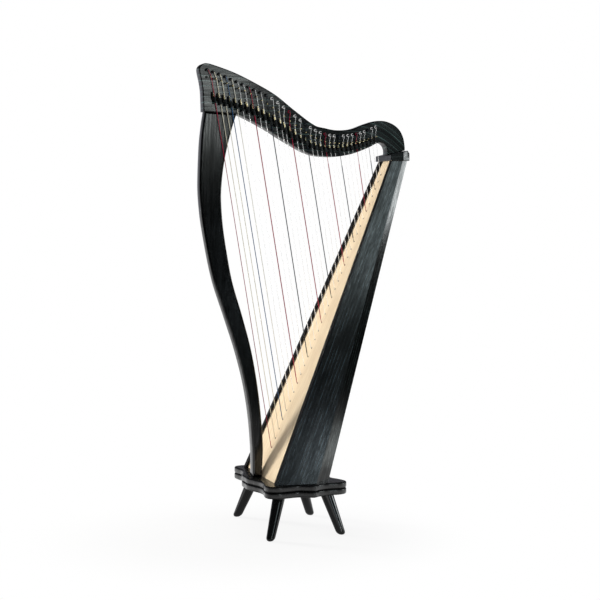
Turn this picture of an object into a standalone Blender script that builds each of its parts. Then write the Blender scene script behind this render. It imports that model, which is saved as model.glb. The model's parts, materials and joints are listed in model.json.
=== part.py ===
# Lever harp: a floor harp with thirty-four strings, a sharping lever on each string, and a low stand.
# Metres, +Z up. The strings and levers are on the -Y face of the neck, the pillar is at -X.
# x is measured from the front of the neck's head. The empty harp_frame centres the whole harp.

import bpy
import bmesh
from math import atan2, ceil, cos, hypot, pi, radians, sin
from mathutils import Matrix, Vector

fit_gap = 0.0003

# Stand and base plates
stand_height = 0.129
plate_thickness = 0.0186
plate_gap = 0.0008
plate_edge_round = 0.003
plate_half_width = 0.229
plate_drawn_half_width = 0.229
plate_outline = (
    (0.123, 0.0), (0.1235, 0.034), (0.134, 0.070), (0.1445, 0.104), (0.1465, 0.140), (0.141, 0.172),
    (0.1395, 0.195), (0.148, 0.216), (0.174, 0.2252), (0.206, 0.2185), (0.240, 0.2115), (0.262, 0.2205),
    (0.285, 0.229), (0.306, 0.2135), (0.334, 0.2005), (0.374, 0.197), (0.397, 0.184), (0.405, 0.162),
    (0.394, 0.124), (0.380, 0.092), (0.388, 0.045), (0.396, 0.0),
)

# Legs: where the middle of each foot stands, and how far the leg runs inwards per metre of height
leg_foot_radius = 0.0125
leg_top_radius = 0.0195
leg_toe_round = 0.005
leg_tenon_radius = 0.011
leg_tenon_length = 0.014
front_foot_x = 0.1497
front_foot_half_track = 0.2095
front_leg_run_x = 0.334
front_leg_run_y = 0.400
rear_foot_x = 0.3891
rear_foot_half_track = 0.1692
rear_leg_run_x = -0.330
rear_leg_run_y = 0.179
leg_sides = 12

# Bolts that hold the stand under the base plate
bolt_radius = 0.004
bolt_head_radius = 0.0075
bolt_head_height = 0.005
bolt_depth_in_base = 0.012
bolt_hole_clearance = 0.0005
bolt_front_x = 0.222
bolt_rear_x = 0.318
bolt_half_track = 0.085

# Soundbox: horizontal sections, from the base plate up to the cap
box_foot_x = 0.1718
box_half_width_bottom = 0.198
box_half_width_top = 0.0669
side_depth_bottom = 0.1285
side_depth_top = 0.0347
bevel_depth_bottom = 0.0444
bevel_depth_top = 0.0184
bevel_slant = 0.54
box_wall = 0.011
board_inset_edge = 0.007
board_inset_middle = 0.0035
board_middle_half_width = 0.013
board_thickness = 0.004
rib_half_width = 0.010
rib_thickness = 0.005
lining_width = 0.010
lining_depth = 0.013
bottom_block_height = 0.035
bottom_block_depth = 0.045
top_block_height = 0.040
top_block_depth = 0.015
brace_depth = 0.017
brace_width = 0.007
braces = (("brace_lower", 9), ("brace_upper", 19))
sound_holes = ((0.22, 0.050, 0.070), (0.47, 0.040, 0.058), (0.70, 0.028, 0.046))
sound_hole_sides = 16

# Cap between the soundbox and the neck's shoulder
cap_thickness_front = 0.0172
cap_overhang = 0.007
cap_rear_drop = 0.009
cap_rear_chamfer = 0.008

# Neck, drawn with z from the pillar joint and scaled to the neck's length
neck_length = 0.6670
neck_thickness = 0.046
neck_edge_round = 0.0028
neck_tenon_length = 0.030
neck_tenon_width = 0.018
neck_tenon_depth = 0.009
head_and_top = (
    (-0.0093, 0.0029), (-0.0103, 0.0379), (-0.0118, 0.0683), (-0.0164, 0.0983), (-0.0218, 0.1230),
    (-0.0219, 0.1365), (-0.0135, 0.1472), (0.0010, 0.1505), (0.0269, 0.1446), (0.0899, 0.1232),
    (0.1533, 0.0940), (0.2173, 0.0592), (0.2817, 0.0106), (0.3467, -0.0342), (0.3794, -0.0424),
    (0.4121, -0.0480), (0.4450, -0.0473), (0.4780, -0.0412), (0.5111, -0.0288), (0.5443, -0.0183),
    (0.5610, -0.0168), (0.5777, -0.0178), (0.5944, -0.0226), (0.6112, -0.0308), (0.6281, -0.0464),
    (0.6399, -0.0699), (0.6450, -0.0983), (0.6451, -0.1094),
)
arch_and_underside = (
    (0.5857, -0.1242), (0.5863, -0.1147), (0.5846, -0.1037), (0.5796, -0.0943), (0.5712, -0.0875),
    (0.5612, -0.0854), (0.5479, -0.0890), (0.5279, -0.0996), (0.4782, -0.1190), (0.4452, -0.1271),
    (0.4122, -0.1315), (0.3794, -0.1312), (0.3467, -0.1280), (0.3142, -0.1175), (0.2494, -0.0834),
    (0.1851, -0.0453), (0.1213, -0.0133), (0.0959, -0.0030),
)
facet_angle = radians(9)

# Pillar: front and back edges, as x at shares of the pillar's height
pillar_height = 1.1317
pillar_thickness = 0.040
pillar_edge_round = 0.004
pillar_board_clearance = 0.0008
pillar_tenon_length = 0.040
pillar_tenon_width = 0.016
pillar_tenon_depth = 0.022
pillar_front = (
    (0.000, 0.1458), (0.077, 0.1448), (0.170, 0.1363), (0.262, 0.1192), (0.353, 0.0926), (0.445, 0.0588),
    (0.550, 0.0203), (0.689, -0.0106), (0.758, -0.0196), (0.810, -0.0218), (0.914, -0.0171),
    (0.965, -0.0107), (1.000, -0.0044),
)
pillar_back = (
    (0.077, 0.1792), (0.168, 0.1729), (0.261, 0.1601), (0.353, 0.1410), (0.444, 0.1136), (0.539, 0.0819),
    (0.619, 0.0646), (0.695, 0.0521), (0.765, 0.0469), (0.810, 0.0490), (0.852, 0.0545), (0.900, 0.0647),
    (0.956, 0.0810), (1.000, 0.0958),
)

# Strings
string_count = 34
bass_string_thickness = 0.0015
treble_string_thickness = 0.00065
string_stand_off = 0.008
first_foot_distance = 0.0957
last_foot_margin = 0.0446
foot_spacing_ratio = 1.30
string_sides = 4
knot_radius = 0.0022
knot_length = 0.0035
winding_turns = 1.5
winding_points = 8
winding_gap = 0.0005
least_winding_gap = 0.0004

# Pins: the key strings' bridge pins, drawn like the neck, and how far their tuning pins are ahead and above
key_strings = (1, 4, 8, 12, 16, 20, 24, 29, 34)
bridge_pin_keys = (
    (0.0108, 0.1092), (0.0626, 0.0906), (0.1369, 0.0601), (0.2087, 0.0184), (0.2810, -0.0345),
    (0.3476, -0.0739), (0.4080, -0.0887), (0.4805, -0.0832), (0.5451, -0.0667),
)
tuning_pin_keys = (
    (0.0109, 0.0211), (0.0063, 0.0197), (0.0079, 0.0197), (0.0032, 0.0276), (0.0016, 0.0279),
    (0.0017, 0.0239), (0.0000, 0.0224), (0.0000, 0.0235), (0.0014, 0.0298),
)
bridge_pin_radius = 0.002
bridge_pin_waist = 0.0014
bridge_pin_root = 0.0010
bridge_pin_tip = 0.0035
tuning_pin_radius = 0.0025
tuning_pin_tip = 0.007
tuning_pin_tail = 0.016
tuning_pin_tail_radius = 0.0019
pin_sides = 6

# Holes in the soundboard, with room for a grommet under each string's bend
grommet_thickness = 0.001
board_hole_radius = 0.0017

# Sharping levers: lateral sizes run across the string, positive to the right
lever_contact_share = 0.0561
long_lever_count = 16
long_lever_reach = 0.017
short_lever_reach = 0.0125
lever_hub_radius = 0.0030
lever_lobe_radius = 0.0043
lever_lobe_clearance = 0.0004
lever_right = 0.0022
lever_ear_gap = 0.0003
lever_handle_thickness = 0.0024
lever_rest_tilt = radians(8)
lever_axle_radius = 0.0011
base_left = -0.0086
base_right = 0.0022
base_plate_thickness = 0.0018
base_ear_thickness = 0.0022
base_root = 0.0008
base_below = 0.0055
long_base_above = 0.020
short_base_above = 0.012
base_pin_gap = 0.0016
fret_right = 0.0018
fret_half_height = 0.0010
fret_clearance = 0.0010

# Sizes that follow from those above
neck_top_x = max(x for x, z in head_and_top)
neck_scale = neck_length / (neck_top_x - min(x for x, z in head_and_top))
neck_face = neck_thickness / 2
base_bottom = stand_height + plate_thickness + plate_gap
plate_top = base_bottom + plate_thickness
joint_z = plate_top + pillar_height
seat_front = Vector(arch_and_underside[0])
seat_back = Vector(head_and_top[-1])
seat_slope = (seat_back.y - seat_front.y) / (seat_back.x - seat_front.x)
box_top_x = seat_front.x * neck_scale + 0.0011
cap_top_z = joint_z + seat_front.y * neck_scale - fit_gap
cap_bottom = cap_top_z - cap_thickness_front - seat_slope * cap_overhang
box_bottom = plate_top + fit_gap
box_top = cap_bottom - fit_gap
box_lean = atan2(box_top_x - box_foot_x, box_top - box_bottom)
board_axis = Vector((sin(box_lean), 0, cos(box_lean)))
board_inward = Vector((cos(box_lean), 0, -sin(box_lean)))
board_foot = Vector((box_foot_x, 0, box_bottom))
board_length = (box_top - box_bottom) / cos(box_lean)
string_y = -(neck_face + string_stand_off)
harp_front_x = min([x for share, x in pillar_front] + [x * neck_scale for x, z in head_and_top])
harp_back_x = box_top_x + side_depth_top + bevel_depth_top + cap_overhang
harp_centre_x = (harp_front_x + harp_back_x) / 2

for old in list(bpy.data.objects):
    bpy.data.objects.remove(old, do_unlink=True)

harp_frame = bpy.data.objects.new("harp_frame", None)
harp_frame.location = (-harp_centre_x, 0, 0)
bpy.context.scene.collection.objects.link(harp_frame)


# Materials

def make_material(name, colour, roughness, metallic=0.0):
    material = bpy.data.materials.new(name)
    material.use_nodes = True
    shader = material.node_tree.nodes["Principled BSDF"]
    shader.inputs["Base Color"].default_value = (*colour, 1)
    shader.inputs["Roughness"].default_value = roughness
    shader.inputs["Metallic"].default_value = metallic
    return material


black_wood = make_material("black_stained_wood", (0.030, 0.035, 0.040), 0.38)
gloss_black = make_material("gloss_black_wood", (0.012, 0.012, 0.014), 0.15)
pale_wood = make_material("pale_spruce", (0.78, 0.60, 0.40), 0.55)
inner_wood = make_material("plain_inner_wood", (0.55, 0.42, 0.28), 0.70)
steel = make_material("blued_steel", (0.10, 0.10, 0.11), 0.30, 1.0)
pale_string = make_material("natural_string", (0.85, 0.82, 0.74), 0.30)


# Mesh helpers

def add_object(bm, name, material, smooth=True):
    bmesh.ops.recalc_face_normals(bm, faces=bm.faces)
    mesh = bpy.data.meshes.new(name)
    bm.to_mesh(mesh)
    bm.free()
    mesh.materials.append(material)
    if smooth:
        mesh.shade_smooth()
        mesh.set_sharp_from_angle(angle=radians(35))
    item = bpy.data.objects.new(name, mesh)
    item.parent = harp_frame
    bpy.context.scene.collection.objects.link(item)
    return item


def cut_or_join(target, bm, operation):
    # Applies a Boolean with a hidden guide made from bm.
    guide = add_object(bm, target.name + "_" + operation.lower(), target.data.materials[0], smooth=False)
    guide.hide_render = True
    guide.display_type = "WIRE"
    modifier = target.modifiers.new(operation.title(), "BOOLEAN")
    modifier.operation = operation
    modifier.solver = "EXACT"
    modifier.object = guide


def add_rings(bm, rings):
    # Closed skin through rings of points that all have the same number of points.
    loops = [[bm.verts.new(point) for point in ring] for ring in rings]
    count = len(loops[0])
    for low, high in zip(loops, loops[1:]):
        for i in range(count):
            j = (i + 1) % count
            bm.faces.new((low[i], low[j], high[j], high[i]))
    bm.faces.new(list(reversed(loops[0])))
    bm.faces.new(loops[-1])


def circle(centre, axis, radius, sides, turn=0.0):
    # Points round an axis, which may point any way.
    axis = Vector(axis).normalized()
    helper = Vector((0, 1, 0)) if abs(axis.y) < 0.9 else Vector((1, 0, 0))
    across = axis.cross(helper).normalized()
    up = axis.cross(across)
    angles = [turn + 2 * pi * i / sides for i in range(sides)]
    return [Vector(centre) + radius * (cos(a) * across + sin(a) * up) for a in angles]


def add_turned(bm, start, axis, profile, sides):
    # A turned piece: profile holds (distance along the axis, radius).
    axis = Vector(axis).normalized()
    add_rings(bm, [circle(Vector(start) + axis * d, axis, r, sides) for d, r in profile])


def add_block(bm, low, high):
    section = ((low[0], low[1]), (high[0], low[1]), (high[0], high[1]), (low[0], high[1]))
    add_rings(bm, [[Vector((x, y, z)) for x, y in section] for z in (low[2], high[2])])


# Curves and outlines

def spline(keys, t):
    # Smooth curve through keys of (parameter, value ...), with chord tangents.
    index = max(i for i in range(len(keys) - 1) if t >= keys[i][0] or i == 0)
    index = min(index, len(keys) - 2)

    def tangent(i):
        before, after = keys[max(i - 1, 0)], keys[min(i + 1, len(keys) - 1)]
        return [(b - a) / (after[0] - before[0]) for a, b in zip(before[1:], after[1:])]

    start, end = keys[index], keys[index + 1]
    span = end[0] - start[0]
    s = (t - start[0]) / span
    result = []
    for a, b, m, n in zip(start[1:], end[1:], tangent(index), tangent(index + 1)):
        first = (2 * s**3 - 3 * s**2 + 1) * a + (s**3 - 2 * s**2 + s) * span * m
        result.append(first + (3 * s**2 - 2 * s**3) * b + (s**3 - s**2) * span * n)
    return result


def smooth_line(points, turn=facet_angle, steps=12):
    # A smooth line through the points, kept only where it has turned far enough.
    keys = [(0.0, *points[0])]
    for before, after in zip(points, points[1:]):
        keys.append((keys[-1][0] + hypot(after[0] - before[0], after[1] - before[1]), *after))
    fine = []
    for before, after in zip(keys, keys[1:]):
        for i in range(steps):
            fine.append(Vector(spline(keys, before[0] + (after[0] - before[0]) * i / steps)))
    fine.append(Vector(points[-1]))
    kept = [fine[0]]
    heading = fine[1] - fine[0]
    for i in range(1, len(fine) - 1):
        ahead = fine[i + 1] - fine[i]
        if ahead.angle(heading) > turn:
            kept.append(fine[i])
            heading = ahead
    kept.append(fine[-1])
    return kept


def inset_outline(outline, distance):
    # The outline moved inwards. It runs anticlockwise.
    count = len(outline)
    result = []
    for i in range(count):
        before = (outline[i] - outline[i - 1]).normalized()
        after = (outline[(i + 1) % count] - outline[i]).normalized()
        inward = Vector((-before.y - after.y, before.x + after.x))
        inward.normalize()
        half = max(inward.dot(Vector((-before.y, before.x))), 0.5)
        result.append(outline[i] + inward * distance / half)
    return result


def area(outline):
    return sum(a.x * b.y - b.x * a.y for a, b in zip(outline, outline[1:] + outline[:1])) / 2


def rounded_slab(outline, low, high, edge, place):
    # An extruded outline with its edges broken. place turns (u, v, w) into a point.
    if area(outline) < 0:
        outline = list(reversed(outline))
    inner = inset_outline(outline, edge)
    levels = ((inner, low), (outline, low + edge), (outline, high - edge), (inner, high))
    bm = bmesh.new()
    add_rings(bm, [[place(p.x, p.y, w) for p in ring] for ring, w in levels])
    return bm


def upright(u, v, w):
    return Vector((u, w, v))


def flat(u, v, w):
    return Vector((u, v, w))


# Soundbox geometry

def box_share(z):
    return (z - box_bottom) / (box_top - box_bottom)


def between(bottom, top, z):
    return bottom + (top - bottom) * box_share(z)


def box_front(z):
    return between(box_foot_x, box_top_x, z)


def box_half_width(z):
    return between(box_half_width_bottom, box_half_width_top, z)


def box_section(z, overhang=0.0):
    # Outer section at height z, from the left front edge round the back to the right one.
    half = box_half_width(z) + overhang
    front = box_front(z) - overhang
    corner = box_front(z) + between(side_depth_bottom, side_depth_top, z)
    back = corner + between(bevel_depth_bottom, bevel_depth_top, z) + overhang
    rear_half = half - bevel_slant * (back - corner)
    left = [Vector((front, -half)), Vector((corner, -half)), Vector((back, -rear_half))]
    return left + [Vector((p.x, -p.y)) for p in reversed(left)]


def wall_sections(z):
    # The five mitred walls at height z, each as four points.
    outer = box_section(z)
    mitres = []
    for i, corner in enumerate(outer):
        if i == 0 or i == len(outer) - 1:
            sign = 1 if i == 0 else -1
            mitres.append(corner + Vector((0, sign * box_wall)))
            continue
        before = (corner - outer[i - 1]).normalized()
        after = (outer[i + 1] - corner).normalized()
        inward = Vector((-before.y - after.y, before.x + after.x)).normalized()
        mitres.append(corner + inward * box_wall / inward.dot(Vector((-before.y, before.x))))
    walls = []
    for i in range(len(outer) - 1):
        along = (outer[i + 1] - outer[i]).normalized() * fit_gap / 2
        start = along if i > 0 else along * 0
        end = along if i < len(outer) - 2 else along * 0
        walls.append((outer[i] + start, outer[i + 1] - end, mitres[i + 1] - end, mitres[i] + start))
    return walls


def board_depth(inset):
    # Depth behind the box's front plane, measured level.
    return inset / cos(box_lean)


def board_section(z):
    edge = box_half_width(z) - box_wall - fit_gap
    rows = ((board_inset_edge, -edge), (board_inset_middle, -board_middle_half_width),
            (board_inset_middle, board_middle_half_width), (board_inset_edge, edge))
    front = [Vector((box_front(z) + board_depth(inset), y)) for inset, y in rows]
    back = [Vector((p.x + board_depth(board_thickness), p.y)) for p in reversed(front)]
    return front + back


def board_back(z, middle=False):
    inset = board_inset_middle if middle else board_inset_edge
    return box_front(z) + board_depth(inset + board_thickness + fit_gap)


def add_loft(bm, section, low, high):
    # A straight loft between the section at height low and the one at height high.
    add_rings(bm, [[Vector((p.x, p.y, z)) for p in section(z)] for z in (low, high)])


def rectangle(front, back, low, high):
    return [Vector((front, low)), Vector((back, low)), Vector((back, high)), Vector((front, high))]


def on_board(distance, y=0.0, depth=0.0):
    # A point by its distance up the slope and its depth behind the box's front plane.
    return board_foot + board_axis * distance + board_inward * depth + Vector((0, y, 0))


# Strings, pins and levers share these places

def foot_distance(number):
    steps = string_count - 1
    total = board_length - first_foot_distance - last_foot_margin
    last_gap = 2 * total / steps / (1 + foot_spacing_ratio)
    first_gap = last_gap * foot_spacing_ratio
    passed = number - 1
    return first_foot_distance + first_gap * passed - (first_gap - last_gap) * passed**2 / (2 * steps)


def string_radius(number):
    share = (number - 1) / (string_count - 1)
    return (bass_string_thickness + (treble_string_thickness - bass_string_thickness) * share) / 2


def on_neck(x, z, y=0.0):
    return Vector((x * neck_scale, y, joint_z + z * neck_scale))


def bridge_pin_place(number):
    keys = [(n, *place) for n, place in zip(key_strings, bridge_pin_keys)]
    return on_neck(*spline(keys, number), y=string_y)


def tuning_pin_place(number):
    keys = [(n, *place) for n, place in zip(key_strings, tuning_pin_keys)]
    ahead, above = spline(keys, number)
    return bridge_pin_place(number) + Vector((-ahead, 0, above))


def string_exit(number):
    # Where the string bends upwards, just clear of its grommet.
    lift = fit_gap * 2 + grommet_thickness + string_radius(1)
    return on_board(foot_distance(number), depth=board_inset_middle - lift)


def string_side(number):
    # The side of its bridge pin that the string bears on: 1 is right, -1 is left.
    below = bridge_pin_place(number) - string_exit(number)
    tuning = tuning_pin_place(number) - Vector((tuning_pin_radius, 0, 0))
    above = tuning - bridge_pin_place(number)
    return 1 if above.x / above.z < below.x / below.z else -1


def string_at_pin(number):
    reach = bridge_pin_waist + fit_gap + string_radius(number)
    return bridge_pin_place(number) + Vector((string_side(number) * reach, 0, 0))


def string_lean(number):
    run = string_at_pin(number) - string_exit(number)
    return atan2(-run.x, run.z)


def lever_contact(number):
    return string_at_pin(number).lerp(string_exit(number), lever_contact_share)


def lever_axis_y():
    depth = -string_y * (1 - lever_contact_share)
    return -(depth + string_radius(1) + lever_lobe_radius + lever_lobe_clearance)


def numbers():
    return range(1, string_count + 1)


# Stand

def make_plate(name, low):
    half = [Vector((x, y * plate_half_width / plate_drawn_half_width)) for x, y in plate_outline]
    line = smooth_line([tuple(p) for p in half], turn=radians(10))
    outline = line + [Vector((p.x, -p.y)) for p in reversed(line[1:-1])]
    return add_object(rounded_slab(outline, low, low + plate_thickness, plate_edge_round, flat),
                      name, gloss_black)


def leg_places():
    for name, x, y, run_x, run_y in (
        ("front", front_foot_x, front_foot_half_track, front_leg_run_x, front_leg_run_y),
        ("rear", rear_foot_x, rear_foot_half_track, rear_leg_run_x, rear_leg_run_y),
    ):
        for side, sign in (("left", -1), ("right", 1)):
            yield f"leg_{name}_{side}", Vector((x, sign * y, 0)), Vector((run_x, -sign * run_y, 1))


def make_leg(name, foot, run):
    # Turned, tapered and cut level at the floor and under the stand plate.
    axis = run.normalized()
    top = stand_height - fit_gap
    length = top * run.length
    spare = leg_top_radius
    toe = leg_foot_radius - leg_toe_round
    bm = bmesh.new()
    add_turned(bm, foot - axis * spare, axis,
               ((0, toe * 0.6), (spare, toe), (spare + leg_toe_round, leg_foot_radius),
                (spare + length, leg_top_radius), (2 * spare + length, leg_top_radius)), leg_sides)
    for level, side in ((0.0, -1), (top, 1)):
        everything = bm.verts[:] + bm.edges[:] + bm.faces[:]
        cut = bmesh.ops.bisect_plane(bm, geom=everything, plane_co=(0, 0, level), plane_no=(0, 0, side),
                                     clear_outer=True)
        edges = [e for e in cut["geom_cut"] if isinstance(e, bmesh.types.BMEdge)]
        bmesh.ops.contextual_create(bm, geom=edges)
    leg = add_object(bm, name, gloss_black)
    tenon = bmesh.new()
    add_turned(tenon, foot + run * top - axis * leg_tenon_length, axis,
               ((0, leg_tenon_radius), (2 * leg_tenon_length, leg_tenon_radius)), 8)
    cut_or_join(leg, tenon, "UNION")


def bolt_places():
    for end, x in (("front", bolt_front_x), ("rear", bolt_rear_x)):
        for side, sign in (("left", -1), ("right", 1)):
            yield f"stand_bolt_{end}_{side}", x, sign * bolt_half_track


def make_stand():
    stand = make_plate("stand_plate", stand_height)
    base = make_plate("base_plate", base_bottom)
    holes = bmesh.new()
    sockets = bmesh.new()
    hole = bolt_radius + bolt_hole_clearance
    up = Vector((0, 0, 1))
    for name, x, y in bolt_places():
        under = Vector((x, y, stand_height - fit_gap - bolt_head_height))
        shank = bolt_head_height + fit_gap + plate_thickness + plate_gap + bolt_depth_in_base
        bolt = bmesh.new()
        add_turned(bolt, under, up, ((0, bolt_head_radius), (bolt_head_height, bolt_head_radius),
                                     (bolt_head_height, bolt_radius), (shank, bolt_radius)), 6)
        add_object(bolt, name, steel)
        add_turned(holes, under, up, ((0, hole / cos(pi / 6)), (shank, hole / cos(pi / 6))), 6)
        add_turned(sockets, Vector((x, y, stand_height + plate_thickness)), up,
                   ((0, hole / cos(pi / 6)), (plate_gap + bolt_depth_in_base + fit_gap, hole / cos(pi / 6))), 6)
    for name, foot, run in leg_places():
        make_leg(name, foot, run)
        axis = run.normalized()
        wide = (leg_tenon_radius + fit_gap) / cos(pi / 8)
        add_turned(holes, foot + run * stand_height - axis * leg_tenon_length, axis,
                   ((0, wide), (2 * leg_tenon_length + 2 * fit_gap, wide)), 8)
    cut_or_join(stand, holes, "DIFFERENCE")
    cut_or_join(base, sockets, "DIFFERENCE")


# Soundbox

def make_walls():
    names = ("side_panel_left", "back_bevel_left", "back_panel", "back_bevel_right", "side_panel_right")
    for index, name in enumerate(names):
        bm = bmesh.new()
        add_loft(bm, lambda z, i=index: wall_sections(z)[i], box_bottom, box_top)
        wall = add_object(bm, name, black_wood)
        if name == "back_panel":
            cut_or_join(wall, sound_hole_cutters(), "DIFFERENCE")


def sound_hole_cutters():
    bm = bmesh.new()
    for share, half_width, half_length in sound_holes:
        z = box_bottom + share * (box_top - box_bottom)
        back = box_section(z)[2].x
        rings = []
        for x in (back - 3 * box_wall, back + 3 * box_wall):
            ring = []
            for i in range(sound_hole_sides):
                a = 2 * pi * i / sound_hole_sides
                ring.append(Vector((x, half_width * cos(a), z + half_length * sin(a))))
            rings.append(ring)
        add_rings(bm, rings)
    return bm


def make_soundboard():
    bm = bmesh.new()
    add_loft(bm, board_section, box_bottom, box_top)
    board = add_object(bm, "soundboard", pale_wood)
    cutters = bmesh.new()
    for number in numbers():
        start = on_board(foot_distance(number), depth=board_inset_middle - board_thickness)
        add_turned(cutters, start, board_inward, ((0, board_hole_radius), (3 * board_thickness, board_hole_radius)),
                   pin_sides)
    cut_or_join(board, cutters, "DIFFERENCE")


def make_inner_frame():
    # End blocks and linings, which the box and the board are glued to.
    block_top = box_bottom + bottom_block_height
    block_low = box_top - top_block_height

    def block(depth):
        def section(z):
            half = box_half_width(z) - box_wall - fit_gap
            return rectangle(board_back(z), board_back(z) + depth, -half, half)
        return section

    def lining(sign):
        def section(z):
            outer = box_half_width(z) - box_wall - fit_gap
            ends = sorted((sign * outer, sign * (outer - lining_width)))
            return rectangle(board_back(z), board_back(z) + lining_depth, *ends)
        return section

    for name, section, low, high in (
        ("bottom_block", block(bottom_block_depth), box_bottom, block_top),
        ("top_block", block(top_block_depth), block_low, box_top),
        ("lining_left", lining(-1), block_top + fit_gap, block_low - fit_gap),
        ("lining_right", lining(1), block_top + fit_gap, block_low - fit_gap),
    ):
        bm = bmesh.new()
        add_loft(bm, section, low, high)
        add_object(bm, name, inner_wood)


def brace_section(z):
    # A cross bar behind the board, notched over the string rib.
    outer = box_half_width(z) - box_wall - lining_width - 2 * fit_gap
    notch = rib_half_width + fit_gap
    front = board_back(z)
    bridge = board_back(z, True) + board_depth(rib_thickness + fit_gap)
    left = [Vector((front + brace_depth, -outer)), Vector((front, -outer)), Vector((front, -notch)),
            Vector((bridge, -notch))]
    return left + [Vector((p.x, -p.y)) for p in reversed(left)]


def make_braces():
    for name, number in braces:
        between_feet = (foot_distance(number) + foot_distance(number + 1)) / 2
        middle = on_board(between_feet, depth=board_inset_edge + board_thickness + rib_thickness).z
        bm = bmesh.new()
        add_loft(bm, brace_section, middle - brace_width / 2, middle + brace_width / 2)
        add_object(bm, name, inner_wood)


def make_cap():
    outline = box_section(cap_bottom, cap_overhang)
    front_x, corner_x, back_x = (outline[i].x for i in range(3))
    chamfer_x = back_x - cap_rear_chamfer
    chamfer_half = -outline[2].y + bevel_slant * cap_rear_chamfer

    def seat_z(x):
        return cap_top_z + seat_slope * (x - seat_front.x * neck_scale)

    left = [Vector((front_x, outline[0].y)), Vector((corner_x, outline[1].y)),
            Vector((chamfer_x, -chamfer_half)), Vector((back_x, outline[2].y))]
    ring = left + [Vector((p.x, -p.y)) for p in reversed(left)]
    tops = [seat_z(p.x) for p in left]
    tops[-1] = seat_z(chamfer_x) - cap_rear_drop
    tops += list(reversed(tops))
    bm = bmesh.new()
    lower = [bm.verts.new((p.x, p.y, cap_bottom)) for p in ring]
    upper = [bm.verts.new((p.x, p.y, z)) for p, z in zip(ring, tops)]
    for i in range(len(ring)):
        j = (i + 1) % len(ring)
        bm.faces.new((lower[i], lower[j], upper[j], upper[i]))
    bm.faces.new(list(reversed(lower)))
    bm.faces.new(upper[:3] + upper[5:])
    bm.faces.new(upper[2:6])
    cap = add_object(bm, "soundbox_cap", black_wood)
    cut_or_join(cap, seat_tenon(fit_gap, fit_gap), "DIFFERENCE")


def seat_tenon(side_gap, depth_gap):
    # The neck's tenon in the cap, or its mortise when the gaps are given.
    along = Vector((1, 0, seat_slope)).normalized()
    down = Vector((along.z, 0, -along.x))
    middle = on_neck((seat_front.x + seat_back.x) / 2, (seat_front.y + seat_back.y) / 2)
    half = neck_tenon_length / 2 + side_gap
    wide = neck_tenon_width / 2 + side_gap
    bm = bmesh.new()
    rings = []
    for depth in (-neck_tenon_depth, neck_tenon_depth + depth_gap):
        centre = middle + down * depth
        rings.append([centre + along * a * half + Vector((0, b * wide, 0))
                      for a, b in ((-1, -1), (1, -1), (1, 1), (-1, 1))])
    add_rings(bm, rings)
    return bm


# Neck and pillar

def make_neck():
    # The wood, with the bridge pins and lever bases that are fixed in its near face.
    top = smooth_line(head_and_top)
    under = smooth_line(arch_and_underside)
    outline = [Vector((p.x * neck_scale, joint_z + p.y * neck_scale)) for p in top + under]
    bm = rounded_slab(outline, -neck_face, neck_face, neck_edge_round, upright)
    neck = add_object(bm, "neck", black_wood)
    fittings = seat_tenon(0, 0)
    add_bridge_pins(fittings)
    add_lever_pieces(fittings, base_mesh)
    cut_or_join(neck, fittings, "UNION")
    extras = bmesh.new()
    add_lever_pieces(extras, base_additions)
    cut_or_join(neck, extras, "UNION")
    holes = bmesh.new()
    radius = (tuning_pin_radius + fit_gap) / cos(pi / pin_sides)
    for number in numbers():
        start = tuning_pin_place(number) + Vector((0, string_stand_off - 4 * fit_gap, 0))
        add_turned(holes, start, (0, 1, 0), ((0, radius), (neck_thickness + string_stand_off, radius)), pin_sides)
    add_tenon_block(holes, fit_gap, fit_gap)
    cut_or_join(neck, holes, "DIFFERENCE")


def joint_line(x):
    # Height of the neck's underside where the pillar meets it.
    start, end = Vector(head_and_top[0]), Vector(arch_and_underside[-1])
    slope = (end.y - start.y) / (end.x - start.x)
    return joint_z + start.y * neck_scale + slope * (x - start.x * neck_scale)


def pillar_outline():
    front = [(x, plate_top + fit_gap + share * pillar_height) for share, x in pillar_front]
    foot_back = box_front(box_bottom) + board_depth(board_inset_middle) - pillar_board_clearance
    back = [(foot_back, plate_top + fit_gap)]
    back += [(x, plate_top + fit_gap + share * pillar_height) for share, x in pillar_back]
    front[-1] = (front[-1][0], joint_line(front[-1][0]) - fit_gap)
    back[-1] = (back[-1][0], joint_line(back[-1][0]) - fit_gap)
    return smooth_line(front, turn=radians(4)) + list(reversed(smooth_line(back, turn=radians(4))))


def add_tenon_block(bm, side_gap, depth_gap):
    middle = (pillar_front[-1][1] + pillar_back[-1][1]) / 2
    half = pillar_tenon_length / 2 + side_gap
    wide = pillar_tenon_width / 2 + side_gap
    level = joint_line(middle)
    add_block(bm, (middle - half, -wide, level - pillar_tenon_depth),
              (middle + half, wide, level + pillar_tenon_depth + depth_gap))


def make_pillar():
    bm = rounded_slab(pillar_outline(), -pillar_thickness / 2, pillar_thickness / 2, pillar_edge_round, upright)
    pillar = add_object(bm, "pillar", black_wood)
    tenon = bmesh.new()
    add_tenon_block(tenon, 0, 0)
    cut_or_join(pillar, tenon, "UNION")


# Pins and strings

def add_bridge_pins(bm):
    for number in numbers():
        start = bridge_pin_place(number) - Vector((0, bridge_pin_tip, 0))
        face = bridge_pin_tip + string_stand_off
        add_turned(bm, start, (0, 1, 0),
                   ((0, bridge_pin_radius), (bridge_pin_tip, bridge_pin_waist),
                    (face + bridge_pin_root, bridge_pin_radius)), pin_sides)


def add_tuning_pins(bm):
    for number in numbers():
        start = tuning_pin_place(number) - Vector((0, tuning_pin_tip, 0))
        through = tuning_pin_tip + string_stand_off + neck_thickness
        add_turned(bm, start, (0, 1, 0),
                   ((0, tuning_pin_radius), (through, tuning_pin_radius),
                    (through + tuning_pin_tail, tuning_pin_tail_radius)), pin_sides)


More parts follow.
